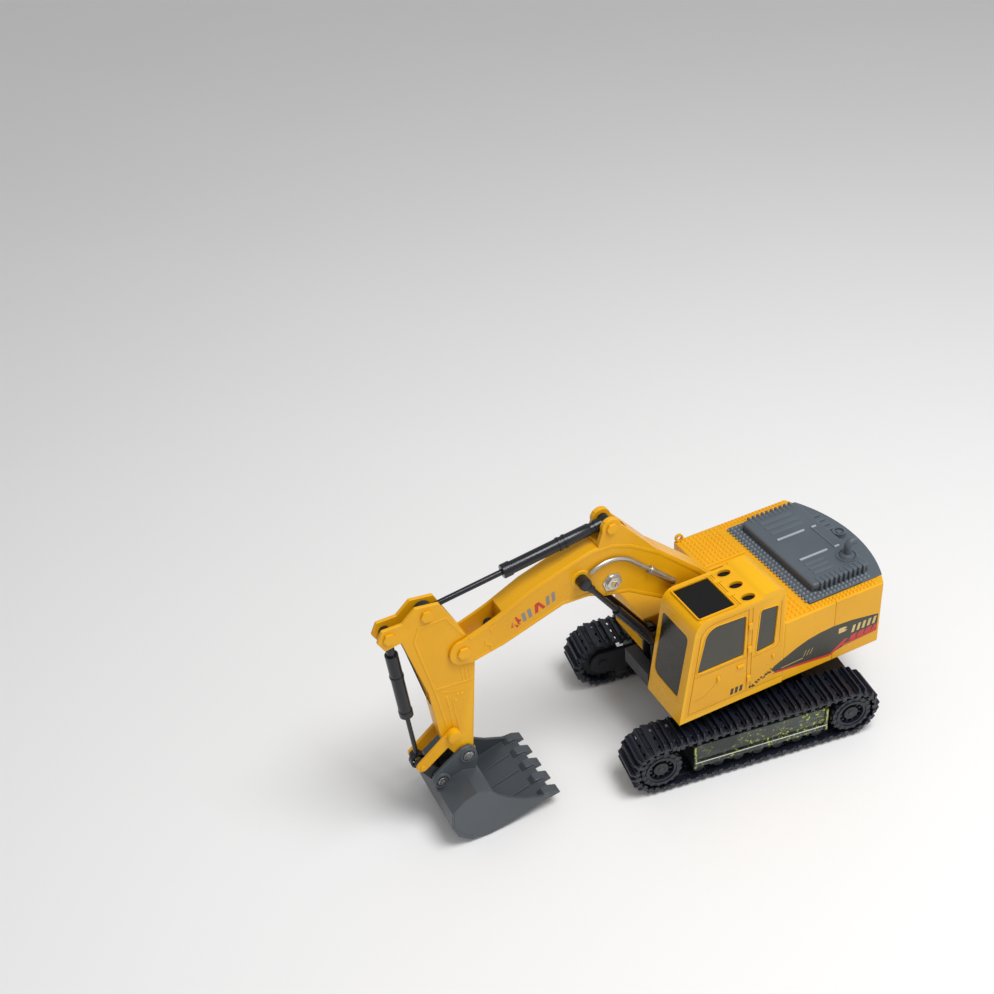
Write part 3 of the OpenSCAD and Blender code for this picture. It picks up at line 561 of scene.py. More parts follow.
# Outlines of the cab and its room from the side, and of its openings
CAB = [(55.7, 47.6), (45.9, 109), (45.2, 112), (43.6, 114.6), (41.4, 116.2), (38.4, ROOF), (2.6, ROOF),
       (1.2, 119.4), (-8, 119.4), (-12, 116.4), (-13, 113), (-13, 47.6)]
CAB_ROOM = [(53.3, 44), (43.2, 111), (39, 115), (-10.6, 115), (-10.8, 44)]
DOOR_PANE = fillet([(44.2, 81.3), (37.6, 111), (13.2, 109.6), (14.2, 81.3)], (1.2, 8, 1.6, 1))
REAR_PANE = fillet([(5.8, 79), (3.4, 109.2), (-7.6, 108), (-6, 80.2)], 1.6)
SCREEN_FOOT = 62.7   # height of the windscreen's lower edge
SCREEN = fillet([(16.4, SCREEN_FOOT), (41.5, SCREEN_FOOT), (42.2, 104.8), (16.2, 104.8)], (5, 2.4, 3, 3))
ROOF_PANE = fillet(ring_box(18.4, 41, BAY + 3.4, HALF - 3.6), 1)
VENTS = [(8.6, BAY + 5.2 + 11.8 * k) for k in range(3)]


def vent_outline(centre, grow=0.0, squash=0.66):
    """The oval of a roof vent, or one a little larger or rounder."""
    return ring_points(centre, 4.1 + grow, 28, squash=squash)


def house_grooves(bm):
    for s in (1, -1):
        y0, y1 = span(s, HALF - 0.5, HALF + 1)
        strip(bm, [(SEAM_X, 44), (SEAM_X, DECK + 1)], 0.45, y0, y1)
        y0, y1 = span(s, 42.6, HALF - 0.49)
        bar(bm, SEAM_X - 0.22, SEAM_X + 0.22, y0, y1, DECK - 0.45, DECK + 1)


def cab_edge(a, b):
    """How round the cab's edge from a to b is: 1 for the roof and pillars, less for the rest."""
    if max(a.z, b.z) < 48:
        return 0.25
    if abs(a.y - b.y) > 1:
        return 0.35
    return 0.5 if max(a.x, b.x) < -12.5 else 1.0


def cab_form():
    bm = bmesh.new()
    prism(bm, CAB, BAY, HALF)
    layer = bm.edges.layers.float.new(BEVEL_WEIGHT)
    for e in bm.edges:
        if e.calc_face_angle(0) >= math.radians(20):
            e[layer] = cab_edge(e.verts[0].co, e.verts[1].co)
    ob = to_object("cab_shell_form", bm, "house", yellow, HOUSE)
    bevelled(ob, 2.3, 5, True, clamp=False)

    def room(bm):
        prism(bm, CAB_ROOM, BAY + 2, HALF - 2)

    def openings(bm):
        prism(bm, DOOR_PANE, HALF - 3, HALF + 1)
        prism(bm, DOOR_PANE, BAY - 1, BAY + 3)
        prism(bm, REAR_PANE, HALF - 3, HALF + 1)
        prism(bm, SCREEN, 42, 60, "x")
        prism(bm, ROOF_PANE, ROOF - 3, ROOF + 3, "z")
        for v in VENTS:
            prism(bm, vent_outline(v), ROOF - 3, ROOF + 3, "z")

    def grooves(bm):
        # Border of the side panel, and the seams of the pillar behind the door
        y0, y1 = HALF - 0.45, HALF + 1
        border = fillet([(50.2, 53), (41, 113.2), (12, 113.2)], (0, 9, 0))
        strip(bm, border, 0.42, y0, y1)
        strip(bm, [(11.6, 53.4), (11.6, 113.6)], 0.42, y0 + 0.02, y1)
        strip(bm, [(8.9, 53.4), (8.9, 113.6)], 0.42, y0 + 0.02, y1)

    def creases(bm):
        # Lines of the lower door and sill, and the frame of the roof panel
        y0, y1 = HALF - 0.4, HALF + 1
        strip(bm, [(50.4, 52.7), (-14, 52.7)], 0.42, y0, y1)
        strip(bm, [(45.6, 78.6), (12.2, 78.6)], 0.4, y0, y1)
        strip(bm, [(45.6, 61), (40, 62), (34, 66.6), (28.6, 73.4)], 0.34, y0, y1)
        strip(bm, [(8.2, 76.6), (-7, 77.2), (-9.6, 80), (-10, 110)], 0.34, y0, y1)
        frame_line = fillet(ring_box(16.8, 42.4, BAY + 1.9, HALF - 2), 1.6)
        strip(bm, frame_line, 0.4, ROOF - 0.4, ROOF + 1, "z", True)
        strip(bm, [(15.4, BAY + 2.4), (15.4, HALF - 2.4)], 0.5, ROOF - 0.5, ROOF + 0.4, "z")

    carve(ob, room, openings, grooves, creases)
    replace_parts(ob, "cab_shell")


cab_form()
carve(rounded("house_shell", yellow, 0.9, 3, clamp=False), house_grooves)
rounded("engine_cover", slate, 0.6, 3, clamp=False)


def lift_pin_ends(bm):
    for s in (1, -1):
        prism(bm, ring_points(LIFT_PIN, 5.4, 24), *span(s, LIFT_Y + 2.9, LIFT_Y + 6))


for node in ("boom_left_half", "boom_right_half"):
    carve(rounded(node, yellow, 0.4, 3, clamp=False), lift_pin_ends)
for node in ("arm_left_half", "arm_right_half"):
    rounded(node, yellow, 0.4, 3, clamp=False)
rounded("bucket", bucket_grey, 0.4, 2, clamp=False)
rounded("exhaust_stack", slate, 0.3)
for node in ("lift_barrel_left", "lift_barrel_right", "arm_cylinder_barrel", "bucket_cylinder_barrel"):
    rounded(node, black, 0.3, 3)
for node in ("rocker_links", "boom_pins", "arm_pins"):
    rounded(node, yellow, 0.35, 3, least=40)
rounded("bucket_link", black_matt, 0.4, 3, least=40)


def pane(name, node, outline, lo, hi, axis, mat, lean=None):
    """A window pane with a rounded rim. lean gives the x of each of its points."""
    bm = bmesh.new()
    prism(bm, grown(outline, -0.06), lo, hi, axis)
    if lean:
        for v in bm.verts:
            v.co.x = lean(v.co)
    ob = to_object(name, bm, "house", mat, HOUSE)
    bevelled(ob, 0.35, 3, angle=50, clamp=False)
    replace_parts(ob, node)


def screen_lean(p):
    """The windscreen leans back with the front of the cab."""
    return 51.3 + p.x - (p.z - SCREEN_FOOT) * 0.16


pane("door_pane", "door_window", DOOR_PANE, HALF - PANE_BACK, HALF - PANE_FACE, "y", window)
pane("rear_side_pane", "rear_side_window", REAR_PANE, HALF - PANE_BACK, HALF - PANE_FACE, "y", window)
pane("right_pane", "right_window", DOOR_PANE, BAY + PANE_FACE, BAY + PANE_BACK, "y", window)
pane("roof_pane", "roof_window", ROOF_PANE, ROOF - 2, ROOF - 0.45, "z", window_dark)
pane("front_pane", "windscreen", SCREEN, 0, PANE_BACK - PANE_FACE, "x", window_front, screen_lean)


# ---------- Deck, hood and house trim ----------

def studs_over(bm, x0, x1, y0, y1, z, pitch, keep=None):
    """Studs in even rows over a rectangle, where keep(x, y) allows them."""
    nx, ny = max(1, round((x1 - x0) / pitch)), max(1, round((y1 - y0) / pitch))
    for a in range(nx):
        for b in range(ny):
            x, y = x0 + (a + 0.5) * (x1 - x0) / nx, y0 + (b + 0.5) * (y1 - y0) / ny
            if not keep or keep(x, y):
                stud(bm, x, y, z)


def inside_rear(x, y, margin):
    """True where a deck point is inside the curved rear of the house."""
    return math.hypot(x - REAR_CENTRE[0], y) < REAR_R - margin


def grey_studs(bm):
    z = DECK + 0.5
    studs_over(bm, -43.6, -32.2, -40.2, 40.2, z, 3)
    for s in (1, -1):
        studs_over(bm, -78, -43.4, *span(s, 35.6, 40.6), z, 2.7, lambda x, y: inside_rear(x, y, 5))


def yellow_studs(bm):
    studs_over(bm, -29.4, -2.4, -45.8, -17.2, DECK, 3.1)
    studs_over(bm, -30.4, -14.4, 14.6, 46.6, DECK, 3.1)
    studs_over(bm, -30.4, -14.4, -14.2, 14.4, DECK, 3.1)
    for s in (1, -1):
        studs_over(bm, -78, -31, *span(s, 42.2, 46.8), DECK, 2.5, lambda x, y: inside_rear(x, y, 3))


LID_EDGES = (-8.5, 13.5)
EXHAUST = (-73, 24)
KNOB = (-87, -1)


def hood_bars(bm):
    # A long and a short bar along each edge of the middle lid
    for y in LID_EDGES:
        bar(bm, -67, -47.5, y - 0.75, y + 0.75, HOOD_TOP - ROOT, HOOD_TOP + 1.3)
    for y in LID_EDGES:
        bar(bm, -75.5, -72, y - 0.7, y + 0.7, HOOD_TOP - ROOT, HOOD_TOP + 1.1)


def hood_trim(bm):
    # Rear edge of the lid, and the raised panels on either side of it
    bar(bm, -73.2, -71.8, *LID_EDGES, HOOD_TOP - ROOT, HOOD_TOP + 0.6)
    for y in (-27, -21.5, -16):
        bar(bm, -71, -48.5, y - 1.6, y + 1.6, HOOD_TOP - ROOT, HOOD_TOP + 0.45)
    for y in (18.4, 22.6, 26.8):
        bar(bm, -61, -47.5, y - 1.1, y + 1.1, HOOD_TOP - ROOT, HOOD_TOP + 0.5)
    # Louvres over the hood's two side edges
    for s in (1, -1):
        for k in range(10):
            x = -76.6 + k * 3.3
            y0, y1 = span(s, 30.6, 36.6)
            bar(bm, x, x + 1.5, y0, y1, DECK + 0.4, HOOD_TOP + 0.5)
    # Vents behind the hood
    for k in range(5):
        y = -24 + k * 5
        bar(bm, -88.8, -83.2, y, y + 2.4, DECK + 0.5, DECK + 1.5)
    # Foot of the exhaust stack
    prism(bm, ring_points(EXHAUST, 6.8, 40), HOOD_TOP - 0.5, HOOD_TOP + 0.5, "z")
    strip(bm, ring_points(EXHAUST, 5.6, 40), 1.1, HOOD_TOP + 0.3, HOOD_TOP + 1.2, "z", True)


def hood_block(bm):
    prism(bm, fillet(ring_box(-80.4, -40.6, -35.4, 35.4), 2.4), DECK + 0.3, HOOD_TOP + 0.12, "z")


def rear_apron(bm):
    """Grey plate that carries the hood's base out over the curved rear edge of the deck."""
    half = 41.4
    turn = math.degrees(math.asin(half / REAR_R))
    arc = ring_points(REAR_CENTRE, REAR_R - 0.02, 49, 180 - turn, 180 + turn)
    prism(bm, arc + [(-70, -half), (-70, half)], DECK - 0.9, DECK + 0.62, "z")


def knob_ring(bm):
    disc(bm, KNOB, 4.1, DECK + 0.3, DECK + 2.2, "z", 40, 0.5)
    strip(bm, ring_points(KNOB, 3.4, 40), 1.3, DECK + 1.8, DECK + 3.3, "z", True)
    disc(bm, KNOB, 1.7, DECK + 1.8, DECK + 2.9, "z", 24, 0.4)


piece("hood_block", hood_block, "house", slate, 1.5, segments=4, clamp=False)
# The bars' lighter slate is a painted highlight
piece("hood_bars", hood_bars, "house", slate_painted_light, 0.5, segments=3)
piece("hood_rear_apron", rear_apron, "house", slate, 0.4, clamp=False)
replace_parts(piece("filler_knob_ring", knob_ring, "house", slate, 0.2), "filler_knob")
# The studs' lighter colours are a painted highlight
piece("deck_studs_grey", grey_studs, "house", stud_grey_painted_highlight)
piece("deck_studs_yellow", yellow_studs, "house", stud_yellow_painted_highlight)
piece("hood_trim", hood_trim, "house", slate, 0.3)


def roof_trim(bm):
    # Hinges, rims round the vents, and the raised edge of the roof window
    for y in (22.5, 35.5):
        bar(bm, 13.4, 17.6, y - 1.6, y + 1.6, ROOF - ROOT, ROOF + 0.7)
    for v in VENTS:
        strip(bm, vent_outline(v, 0.3, 0.68), 0.5, ROOF - ROOT, ROOF + 0.3, "z", True)
    rim = fillet(ring_box(17.9, 41.4, BAY + 2.9, HALF - 3.1), 1.2)
    strip(bm, rim, 0.8, ROOF - ROOT, ROOF + 0.45, "z", True)


def side_trim(bm):
    # Door handle, hinges, catches and the raised frames round the side windows
    y0, y1 = HALF - 0.2, HALF + 0.45
    bar(bm, 13.6, 18.2, y0, y1 + 0.5, 73.2, 74.9)
    for z in (62, 84, 101):
        bar(bm, 9.2, 11.6, y0, y1 + 0.45, z - 2.2, z + 2.2)
    bar(bm, 29.6, 31.4, y0, y1 + 0.3, 69.6, 73.2)
    bar(bm, -6.6, -5.2, y0, y1 + 0.3, 70.2, 72.8)
    strip(bm, grown(DOOR_PANE, 0.5), 0.7, y0, y1 - 0.1, "y", True)
    strip(bm, grown(REAR_PANE, 0.5), 0.7, y0, y1 - 0.1, "y", True)


def vent_plates(bm):
    for v in VENTS:
        prism(bm, vent_outline(v, -0.1), ROOF - 2, ROOF - 1.3, "z")


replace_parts(piece("vent_plates", vent_plates, "house", window_dark, 0.2), "roof_vents")
piece("roof_trim", roof_trim, "house", yellow, 0.2)
piece("cab_side_trim", side_trim, "house", yellow, 0.22)


# ---------- Printed bands and marks, all generic ----------

BAND_END = -79.4     # the prints end here, before the rear corner turns in
BAND_TOP = [(-5.4, 60), (-7, 62.6), (-12, 64.8), (-22, 69.4), (-30, 72.2), (-38, 73.6), (-47, 74.2),
            (-60, 73.2), (BAND_END, 69.7)]
BAND_LOW = [(BAND_END, 58.7), (-60, 56.6), (-47, 53), (-8, 57.6)]


def on_sides(bm, outline, lift=0.0, sides=(1, -1)):
    """Print an outline on the house's sides, raised by lift over what it is printed on."""
    for s in sides:
        prism(bm, outline, *span(s, HALF - SUNK, HALF + PRINT + lift))


def slanted(x, z, wide, high, lean):
    """A slanted mark, wide towards the rear, whose top stands lean further back."""
    return [(x, z), (x - wide, z), (x - wide - lean, z + high), (x - lean, z + high)]


def side_band(bm):
    on_sides(bm, BAND_TOP + BAND_LOW)


def side_red(bm):
    on_sides(bm, [(-6.4, 57), (-9, 58), (-46.2, 53.7), (-46.2, 52)], 0.03)
    on_sides(bm, [(-46.6, 52), (-46.6, 54), (-56, 60.4), (-58.6, 60.4), (-55.4, 57.2)], 0.03)
    for k in range(4):
        x = -59.4 - k * 5.4
        rear_top, rear_foot = max(x - 5.6, BAND_END), max(x - 4.6, BAND_END)
        mark = [(x, 58 + k * 0.2), (x - 1.6, 61.4 + k * 0.3), (rear_top, 61.8 + k * 0.3), (rear_foot, 57.6)]
        on_sides(bm, mark, 0.03)
    on_sides(bm, [(-55, 55.4), (-55, 57), (BAND_END, 58.3), (BAND_END, 56.8)], 0.03)


def side_light_lines(bm):
    on_sides(bm, [(-12, 58.6), (-12, 58.95), (-27, 59.6), (-27, 59.2)], 0.05)
    for k in range(3):
        x = -27.4 - k * 2.3
        on_sides(bm, [(x, 60.2), (x + 0.3, 60.2), (x - 1.5, 64.4), (x - 1.8, 64.4)], 0.05)


def side_gold_marks(bm):
    badge = [(-51.4, 70.4), (-51.4, 66.6), (-55.6, 66.6), (-57.6, 67.6), (-55, 68.2), (-57.4, 69.4),
             (-55.2, 70.4)]
    on_sides(bm, badge, 0.05)
    for k in range(5):
        on_sides(bm, slanted(-60.6 - k * 3.7, 63.4, 1.9, 5.2, 1.1), 0.05)


def door_badge(bm):
    for k in range(3):
        on_sides(bm, slanted(22.4 - k * 3, 54.6, 1.9, 4.4, 0.6), sides=(1,))


def dot_cluster(bm):
    random.seed(5)
    count = 26
    for k in range(count):
        u = k / (count - 1)
        x = 9 - 15 * u + random.uniform(-0.6, 0.6)
        z = 53.4 + 7 * u + random.uniform(-0.8, 1.6)
        on_sides(bm, ring_points((x, z), random.uniform(0.35, 0.85), 10), 0.02, (1,))


piece("side_band", side_band, "house", ink_dark)
piece("side_stripe_red", side_red, "house", ink_red)
piece("side_lines", side_light_lines, "house", ink_gold)
piece("side_marks", side_gold_marks, "house", ink_gold)
piece("door_badge", door_badge, "house", ink_dark)
piece("side_dots", dot_cluster, "house", ink_dark)


def on_boom(bm, points):
    """Print an outline on both sides of the boom. u runs along it from the mark's foot, v up across it."""
    foot, along, across = Vector((135.5, 122.6)), Vector((-0.945, 0.327)), Vector((0.327, 0.945))
    outline = [tuple(foot + along * u + across * v) for u, v in points]
    for s in (1, -1):
        prism(bm, outline, *span(s, BOOM - SUNK, BOOM + PRINT))


def boom_mark_red(bm):
    random.seed(3)
    for k in range(22):
        u, v = random.uniform(0, 8.4), random.uniform(0.4, 6.2)
        if v < 1.2 + u * 0.75:
            on_boom(bm, ring_points((u, v), random.uniform(0.45, 0.95), 8))
    on_boom(bm, [(17.2, 0.4), (19.2, 0.4), (21.6, 6.4), (19.2, 6.4)])
    on_boom(bm, [(22, 0.4), (24, 0.4), (22, 6.4), (20.4, 6.4)])


def boom_mark_grey(bm):
    for u in (9.6, 13.2):
        on_boom(bm, [(u, 0.4), (u + 2.2, 0.4), (u + 3.2, 6.4), (u + 1, 6.4)])
    for u in (24.6, 28.2):
        on_boom(bm, [(u, 0.4), (u + 2, 0.4), (u + 4, 6.4), (u + 1.8, 6.4)])


piece("boom_mark_red", boom_mark_red, "boom", ink_red)
piece("boom_mark_grey", boom_mark_grey, "boom", ink_grey)


# ---------- Boom and arm trim ----------

BOOM_TOP = [(6, 97.5), (17, 113.6), (43, 138.4), (61, 150.6), (72, 154.8), (84, 155.2), (101.6, 150.4),
            (121.7, 143.9), (142, 134.4), (150, 131.4), (158, 128.6)]
BOOM_LOW_FRONT = [(156, 113.6), (140, 117), (119.6, 123.6), (103, 128.9), (87, 128.1)]
BOOM_LOW_REAR = [(76.4, 123.9), (62, 120.1), (48, 111), (30, 98.8), (12, 83.6)]


def boom_trim(bm):
    for s in (1, -1):
        y0, y1 = span(s, BOOM - ROOT, BOOM + 0.28)
        for line in (BOOM_TOP, BOOM_LOW_FRONT, BOOM_LOW_REAR):
            strip(bm, line, 1.7, y0, y1)
        strip(bm, [(147, 115.6), (146.2, 119), (149.6, 121.4), (149, 124)], 0.9, y0, y1)
        strip(bm, [(143, 131.6), (145.6, 130.2), (145, 127.6)], 0.9, y0, y1)
        disc(bm, LIFT_PIN, 5.6, s * (BOOM - 0.2), s * (BOOM + 0.3), soft=0.2)


def arm_trim(bm):
    # It stays thin, because it passes inside the boom's fork as the arm swings
    for s in (1, -1):
        y0, y1 = span(s, ARM - ROOT, ARM + 0.24)
        strip(bm, [(187.2, 138.6), (183.8, 146.4), (168.6, 146.6), (160.4, 131.4)], 1.2, y0, y1)
        strip(bm, [(187.2, 138.6), (179.6, 96.2), (176.6, 72)], 1.2, y0, y1)
        strip(bm, [(158.6, 99), (181.6, 101.4)], 1.0, y0, y1)
        y0, y1 = span(s, ARM - ROOT, ARM + 0.22)
        for k in range(3):
            strip(bm, [(159.4 + k * 2.1, 99.6), (160 + k * 2.1, 113)], 0.8, y0, y1)
        strip(bm, [(174.4, 93), (172.2, 60.6)], 0.8, y0, y1)
        strip(bm, [(171.4, 90.6), (169.4, 60.4)], 0.8, y0, y1)
        strip(bm, [(160, 96), (165, 94), (171, 95.6), (177, 98)], 0.7, y0, y1)
        for p in ((168, 92.4), (165.4, 92), (169.6, 88.6), (174.4, 93)):
            disc(bm, p, 0.95, s * (ARM - ROOT), s * (ARM + 0.27), n=14, soft=0.15)


piece("boom_side_trim", boom_trim, "boom", yellow, 0.22)
piece("arm_side_trim", arm_trim, "arm", yellow, 0.22)


def hexagon(c, r):
    return ring_points(c, r, 6, 12, 372)


def bolt_plates(bm):
    # A hexagonal plate, a washer, the bolt's head and its rim
    for s in (1, -1):
        prism(bm, hexagon(BOLT, 6.2), *span(s, BOOM - 0.2, BOOM + 0.55))
        disc(bm, BOLT, 4.7, s * BOOM, s * (BOOM + 0.95), n=40)
        prism(bm, hexagon(BOLT, 4.3), *span(s, BOOM, BOOM + 2.5))
        strip(bm, ring_points(BOLT, 1.9, 28), 0.7, *span(s, BOOM + 2.3, BOOM + 2.9), closed=True)


def bolt_ends(bm):
    for s in (1, -1):
        disc(bm, BOLT, 1.5, s * (BOOM + 2), s * (BOOM + 2.8), n=24)


def along_line(start, way, steps):
    """Path points (x, z, radius) on a line, from steps that list (distance, radius)."""
    places = [(start + way * far, r) for far, r in steps]
    return [(round(p.x, 4), round(p.y, 4), r) for p, r in places]


PIPE_CENTRE, PIPE_BEND, PIPE_Y = (74.7, 126.9), 20, BOOM + 1.5
PIPE_TURN = (54.8, 134.6)
PIPE_R, SLEEVE_R, COLLAR_R = 1.35, 2.05, 2.5
PIPE_STEPS = [(14.6, PIPE_R), (14.6, COLLAR_R - 0.5), (15, COLLAR_R), (16.6, COLLAR_R), (17, COLLAR_R - 0.5),
              (17, SLEEVE_R), (36.4, SLEEVE_R), (37, SLEEVE_R - 0.5)]


def boom_pipe(side):
    """A pipe that bends round the bolt, then runs straight on through a collar into a sleeve."""
    def build(bm):
        path = [(x, z, PIPE_R) for x, z in ring_points(PIPE_CENTRE, PIPE_BEND, 25, *PIPE_TURN)]
        a = math.radians(PIPE_TURN[1] + 90)
        way = Vector((math.cos(a), math.sin(a)))
        path += along_line(Vector(path[-1][:2]), way, PIPE_STEPS)
        tube(bm, path, side * PIPE_Y)

    node = f"boom_pipe_{side_name(side)}"
    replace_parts(piece(node + "_form", build, "boom", dull_pipe), node)


for side in (1, -1):
    boom_pipe(side)
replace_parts(piece("boom_bolt_plates", bolt_plates, "boom", chrome, 0.18), "boom_bolt")
piece("boom_bolt_ends", bolt_ends, "boom", brass)


SLEEVE_STEPS = [(9.5, 3.2), (10, 3.5), (24, 3.5), (24, 3.9), (25.4, 3.9), (25.4, 3.5), (27.6, 3.5),
                (27.6, 3.9), (29, 3.9), (29, 3.5), (57, 3.5), (57, 4), (61.6, 4), (62.2, 3.6)]


def arm_sleeve(bm):
    # The barrel's thick wall, with two rings and a wider gland
    way = (ARM_REAR_PIN - BARREL_PIN).normalized()
    tube(bm, along_line(BARREL_PIN, way, SLEEVE_STEPS), 0, 36)


piece("arm_cylinder_sleeve", arm_sleeve, "arm_cylinder", black)


def rocker_bosses(bm):
    for s in (1, -1):
        disc(bm, ROCKER_PIN, 4.1, s * 7, s * 10.3, n=40, soft=0.5)


piece("rocker_bosses", rocker_bosses, "rocker", yellow)


def lift_caps(bm):
    for s in (1, -1):
        disc(bm, LIFT_PIN, 3.6, s * (LIFT_Y + 2.2), s * (LIFT_Y + 4), n=36, soft=1.2)


piece("lift_rod_caps", lift_caps, "lift_rods", black)


def fork_stop(bm):
    # Black stop inside the boom's fork
    disc(bm, (142.4, 124.6), 2.6, -5.4, 5.4)
    bar(bm, 139.6, 144.6, -3.2, 3.2, 119.4, 124)


piece("boom_fork_stop", fork_stop, "boom", black_matt, 0.25)


# ---------- Tracks ----------

WHEEL_X, AXLE_Z = 59.95, 18.7        # axles, from the middle of the track and from the ground
BELT_R = 16.5        # radius of the shoes' outer face over a wheel
TRACK_OUT, SHOE_W = 59.2, 23.6       # outer face of a track from the middle plane, and its width
SHOES = 34
STRAIGHT, TURN = 2 * WHEEL_X, math.pi * BELT_R
BELT_L = 2 * (STRAIGHT + TURN)


def belt_point(s, r):
    """Place s along the belt's outer surface, lifted to radius r, as (x, z), with its outward direction."""
    s %= BELT_L
    if s < STRAIGHT:
        return (WHEEL_X - s, AXLE_Z + r), (0, 1)
    s -= STRAIGHT
    if s < TURN:
        wheel_x, a = -WHEEL_X, math.pi / 2 + s / BELT_R
    elif s < TURN + STRAIGHT:
        return (s - TURN - WHEEL_X, AXLE_Z - r), (0, -1)
    else:
        wheel_x, a = WHEEL_X, (s - TURN - STRAIGHT) / BELT_R - math.pi / 2
    return (wheel_x + r * math.cos(a), AXLE_Z + r * math.sin(a)), (math.cos(a), math.sin(a))


def belt_block(bm, s, half, r0, r1, y0, y1, taper=0.0, slope=0.0):
    """A block on the belt, half long each way from s, from radius r0 to r1.

    Its top is shorter by taper along the belt and by slope at each end across it.
    """
    (x, z), (nx, nz) = belt_point(s, BELT_R)
    tx, tz = nz, -nx
    ends = []
    for y, inward in ((y0, slope), (y1, -slope)):
        ring = ((-half, r0, 0), (half, r0, 0), (half - taper, r1, inward), (-half + taper, r1, inward))
        ends.append([bm.verts.new((x + tx * u + nx * (r - BELT_R), y + shift, z + tz * u + nz * (r - BELT_R)))
                     for u, r, shift in ring])
    skin(bm, ends)


def belt_ring(bm, r0, r1, y0, y1):
    """A closed flat band round both wheels."""
    steps = 28
    places = [0.0] + [STRAIGHT + TURN * k / steps for k in range(steps + 1)]
    places += [2 * STRAIGHT + TURN + TURN * k / steps for k in range(steps)]
    corners = ((r0, y0), (r1, y0), (r1, y1), (r0, y1))
    loops = [[bm.verts.new(PLACE["y"](belt_point(q, r)[0], y)) for q in places] for r, y in corners]
    skin(bm, loops + loops[:1], ends=False)


def track(side):
    """The belt of one side. u is measured across it from its inner edge."""
    inner = TRACK_OUT - SHOE_W

    def across(u0, u1):
        return span(side, inner + u0, inner + u1)

    def build(bm):
        # Four bands under the shoes
        for u0, u1 in ((0.3, 3.6), (6.2, 10.4), (13.2, 17.4), (20, 23.3)):
            belt_ring(bm, 14.5, 15.5, *across(u0, u1))
        for k in range(SHOES):
            # Two half plates with a joint between them, two ribs, and two small blocks
            s = (k + 0.5) * BELT_L / SHOES
            for e in (-2.45, 2.45):
                belt_block(bm, s + e, 2.1, 14.7, 16.4, *across(0.3, 23.3), 0.25, 0.4)
            belt_block(bm, s, 0.6, 14.8, 15.9, *across(1.4, 22.2))
            for e in (-2.6, 1.2):
                belt_block(bm, s + e, 0.85, 16.2, 18.66, *across(0.1, 23.5), 0.3, 1.7)
            for u in (5.2, 16.8):
                belt_block(bm, s - 0.7, 0.5, 16, 17.4, *across(u, u + 1.6), 0.1, 0.2)
            # Guide teeth inside, and the lugs that hang down over both rims
            for u in (0.9, 20.6):
                belt_block(bm, s, 1.5, 14.0, 14.8, *across(u, u + 2.1))
            for u in (0.05, 22.55):
                belt_block(bm, s - 2.4, 1.3, 12.9, 16.2, *across(u, u + 1))
                belt_block(bm, s + 2.3, 1.0, 13.7, 16.3, *across(u, u + 1))

    name = side_name(side)
    ob = piece(f"track_shoes_{name}", build, "undercarriage", rubber, 0.16, TRACKS)
    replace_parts(ob, f"track_belt_{name}")


def wheel(name, x, side):
    """Teeth, spokes, rim and hub on the open face of a track wheel."""
    axle = (x, AXLE_Z)
    out = TRACK_OUT - 1.2
    back = out - 4

    def build(bm):
        def spoke_ring(count, r0, r1, w0, w1, low, high):
            for k in range(count):
                a = 2 * math.pi * (k + 0.5) / count
                c, d = math.cos(a), math.sin(a)
                corners = [(r0, -w0), (r1, -w1), (r1, w1), (r0, w0)]
                outline = [(x + r * c - t * d, AXLE_Z + r * d + t * c) for r, t in corners]
                prism(bm, outline, *span(side, low, high))

        spoke_ring(16, 9.6, 12.4, 1.15, 0.8, back, out + 0.3)
        spoke_ring(12, 5.4, 7.6, 0.7, 0.7, back - 0.2, out - 1.4)
        strip(bm, ring_points(axle, 8.6, 48), 2.2, *span(side, back, out + 0.25), closed=True)
        strip(bm, ring_points(axle, 9.4, 48), 0.6, *span(side, back, out + 0.8), closed=True)
        disc(bm, axle, 4.4, side * back, side * (out - 0.9), soft=0.6)
        disc(bm, axle, 2.0, side * (out - 1.4), side * (out - 0.1), n=6, soft=0.3)

    piece(f"{name}_face", build, f"{name}_body", rubber, 0.14, TRACKS)


def cover_trim(side):
    """Pins and plates below the smoked side cover, its clear ledge and its splattered ends."""
    out, name = TRACK_OUT, side_name(side)

    def build(bm):
        for k in range(13):
            x = -38.6 + k * 6.1
            disc(bm, (x, 10.9), 1.35, side * (out - 4.6), side * (out - 2.2), n=18)
            bar(bm, x - 1.8, x + 1.6, *span(side, out - 3.9, out - 3.1), 11.4, 12.4)

    def ledge(bm):
        bar(bm, -44, 39.6, *span(side, out - 1.6, out - 0.35), 15.9, 16.9)

    def ends(bm):
        for x in (-44.3, 38.5):
            bar(bm, x, x + 1.4, *span(side, out - 1.5, out - 0.5), 12.2, 29.2)

    piece(f"cover_trim_{name}", build, "undercarriage", black, 0.14, TRACKS)
    piece(f"cover_ledge_{name}", ledge, "undercarriage", clear_edge, 0.3, TRACKS, 3)
    piece(f"cover_ends_{name}", ends, "undercarriage", splatter_edge, 0.3, TRACKS, 3)


for side in (1, -1):
    track(side)
    cover_trim(side)
for kind, x in (("drive_wheel", -WHEEL_X), ("idler_wheel", WHEEL_X)):
    for side in (1, -1):
        wheel(f"{kind}_{side_name(side)}", x, side)


# ---------- Bucket ----------

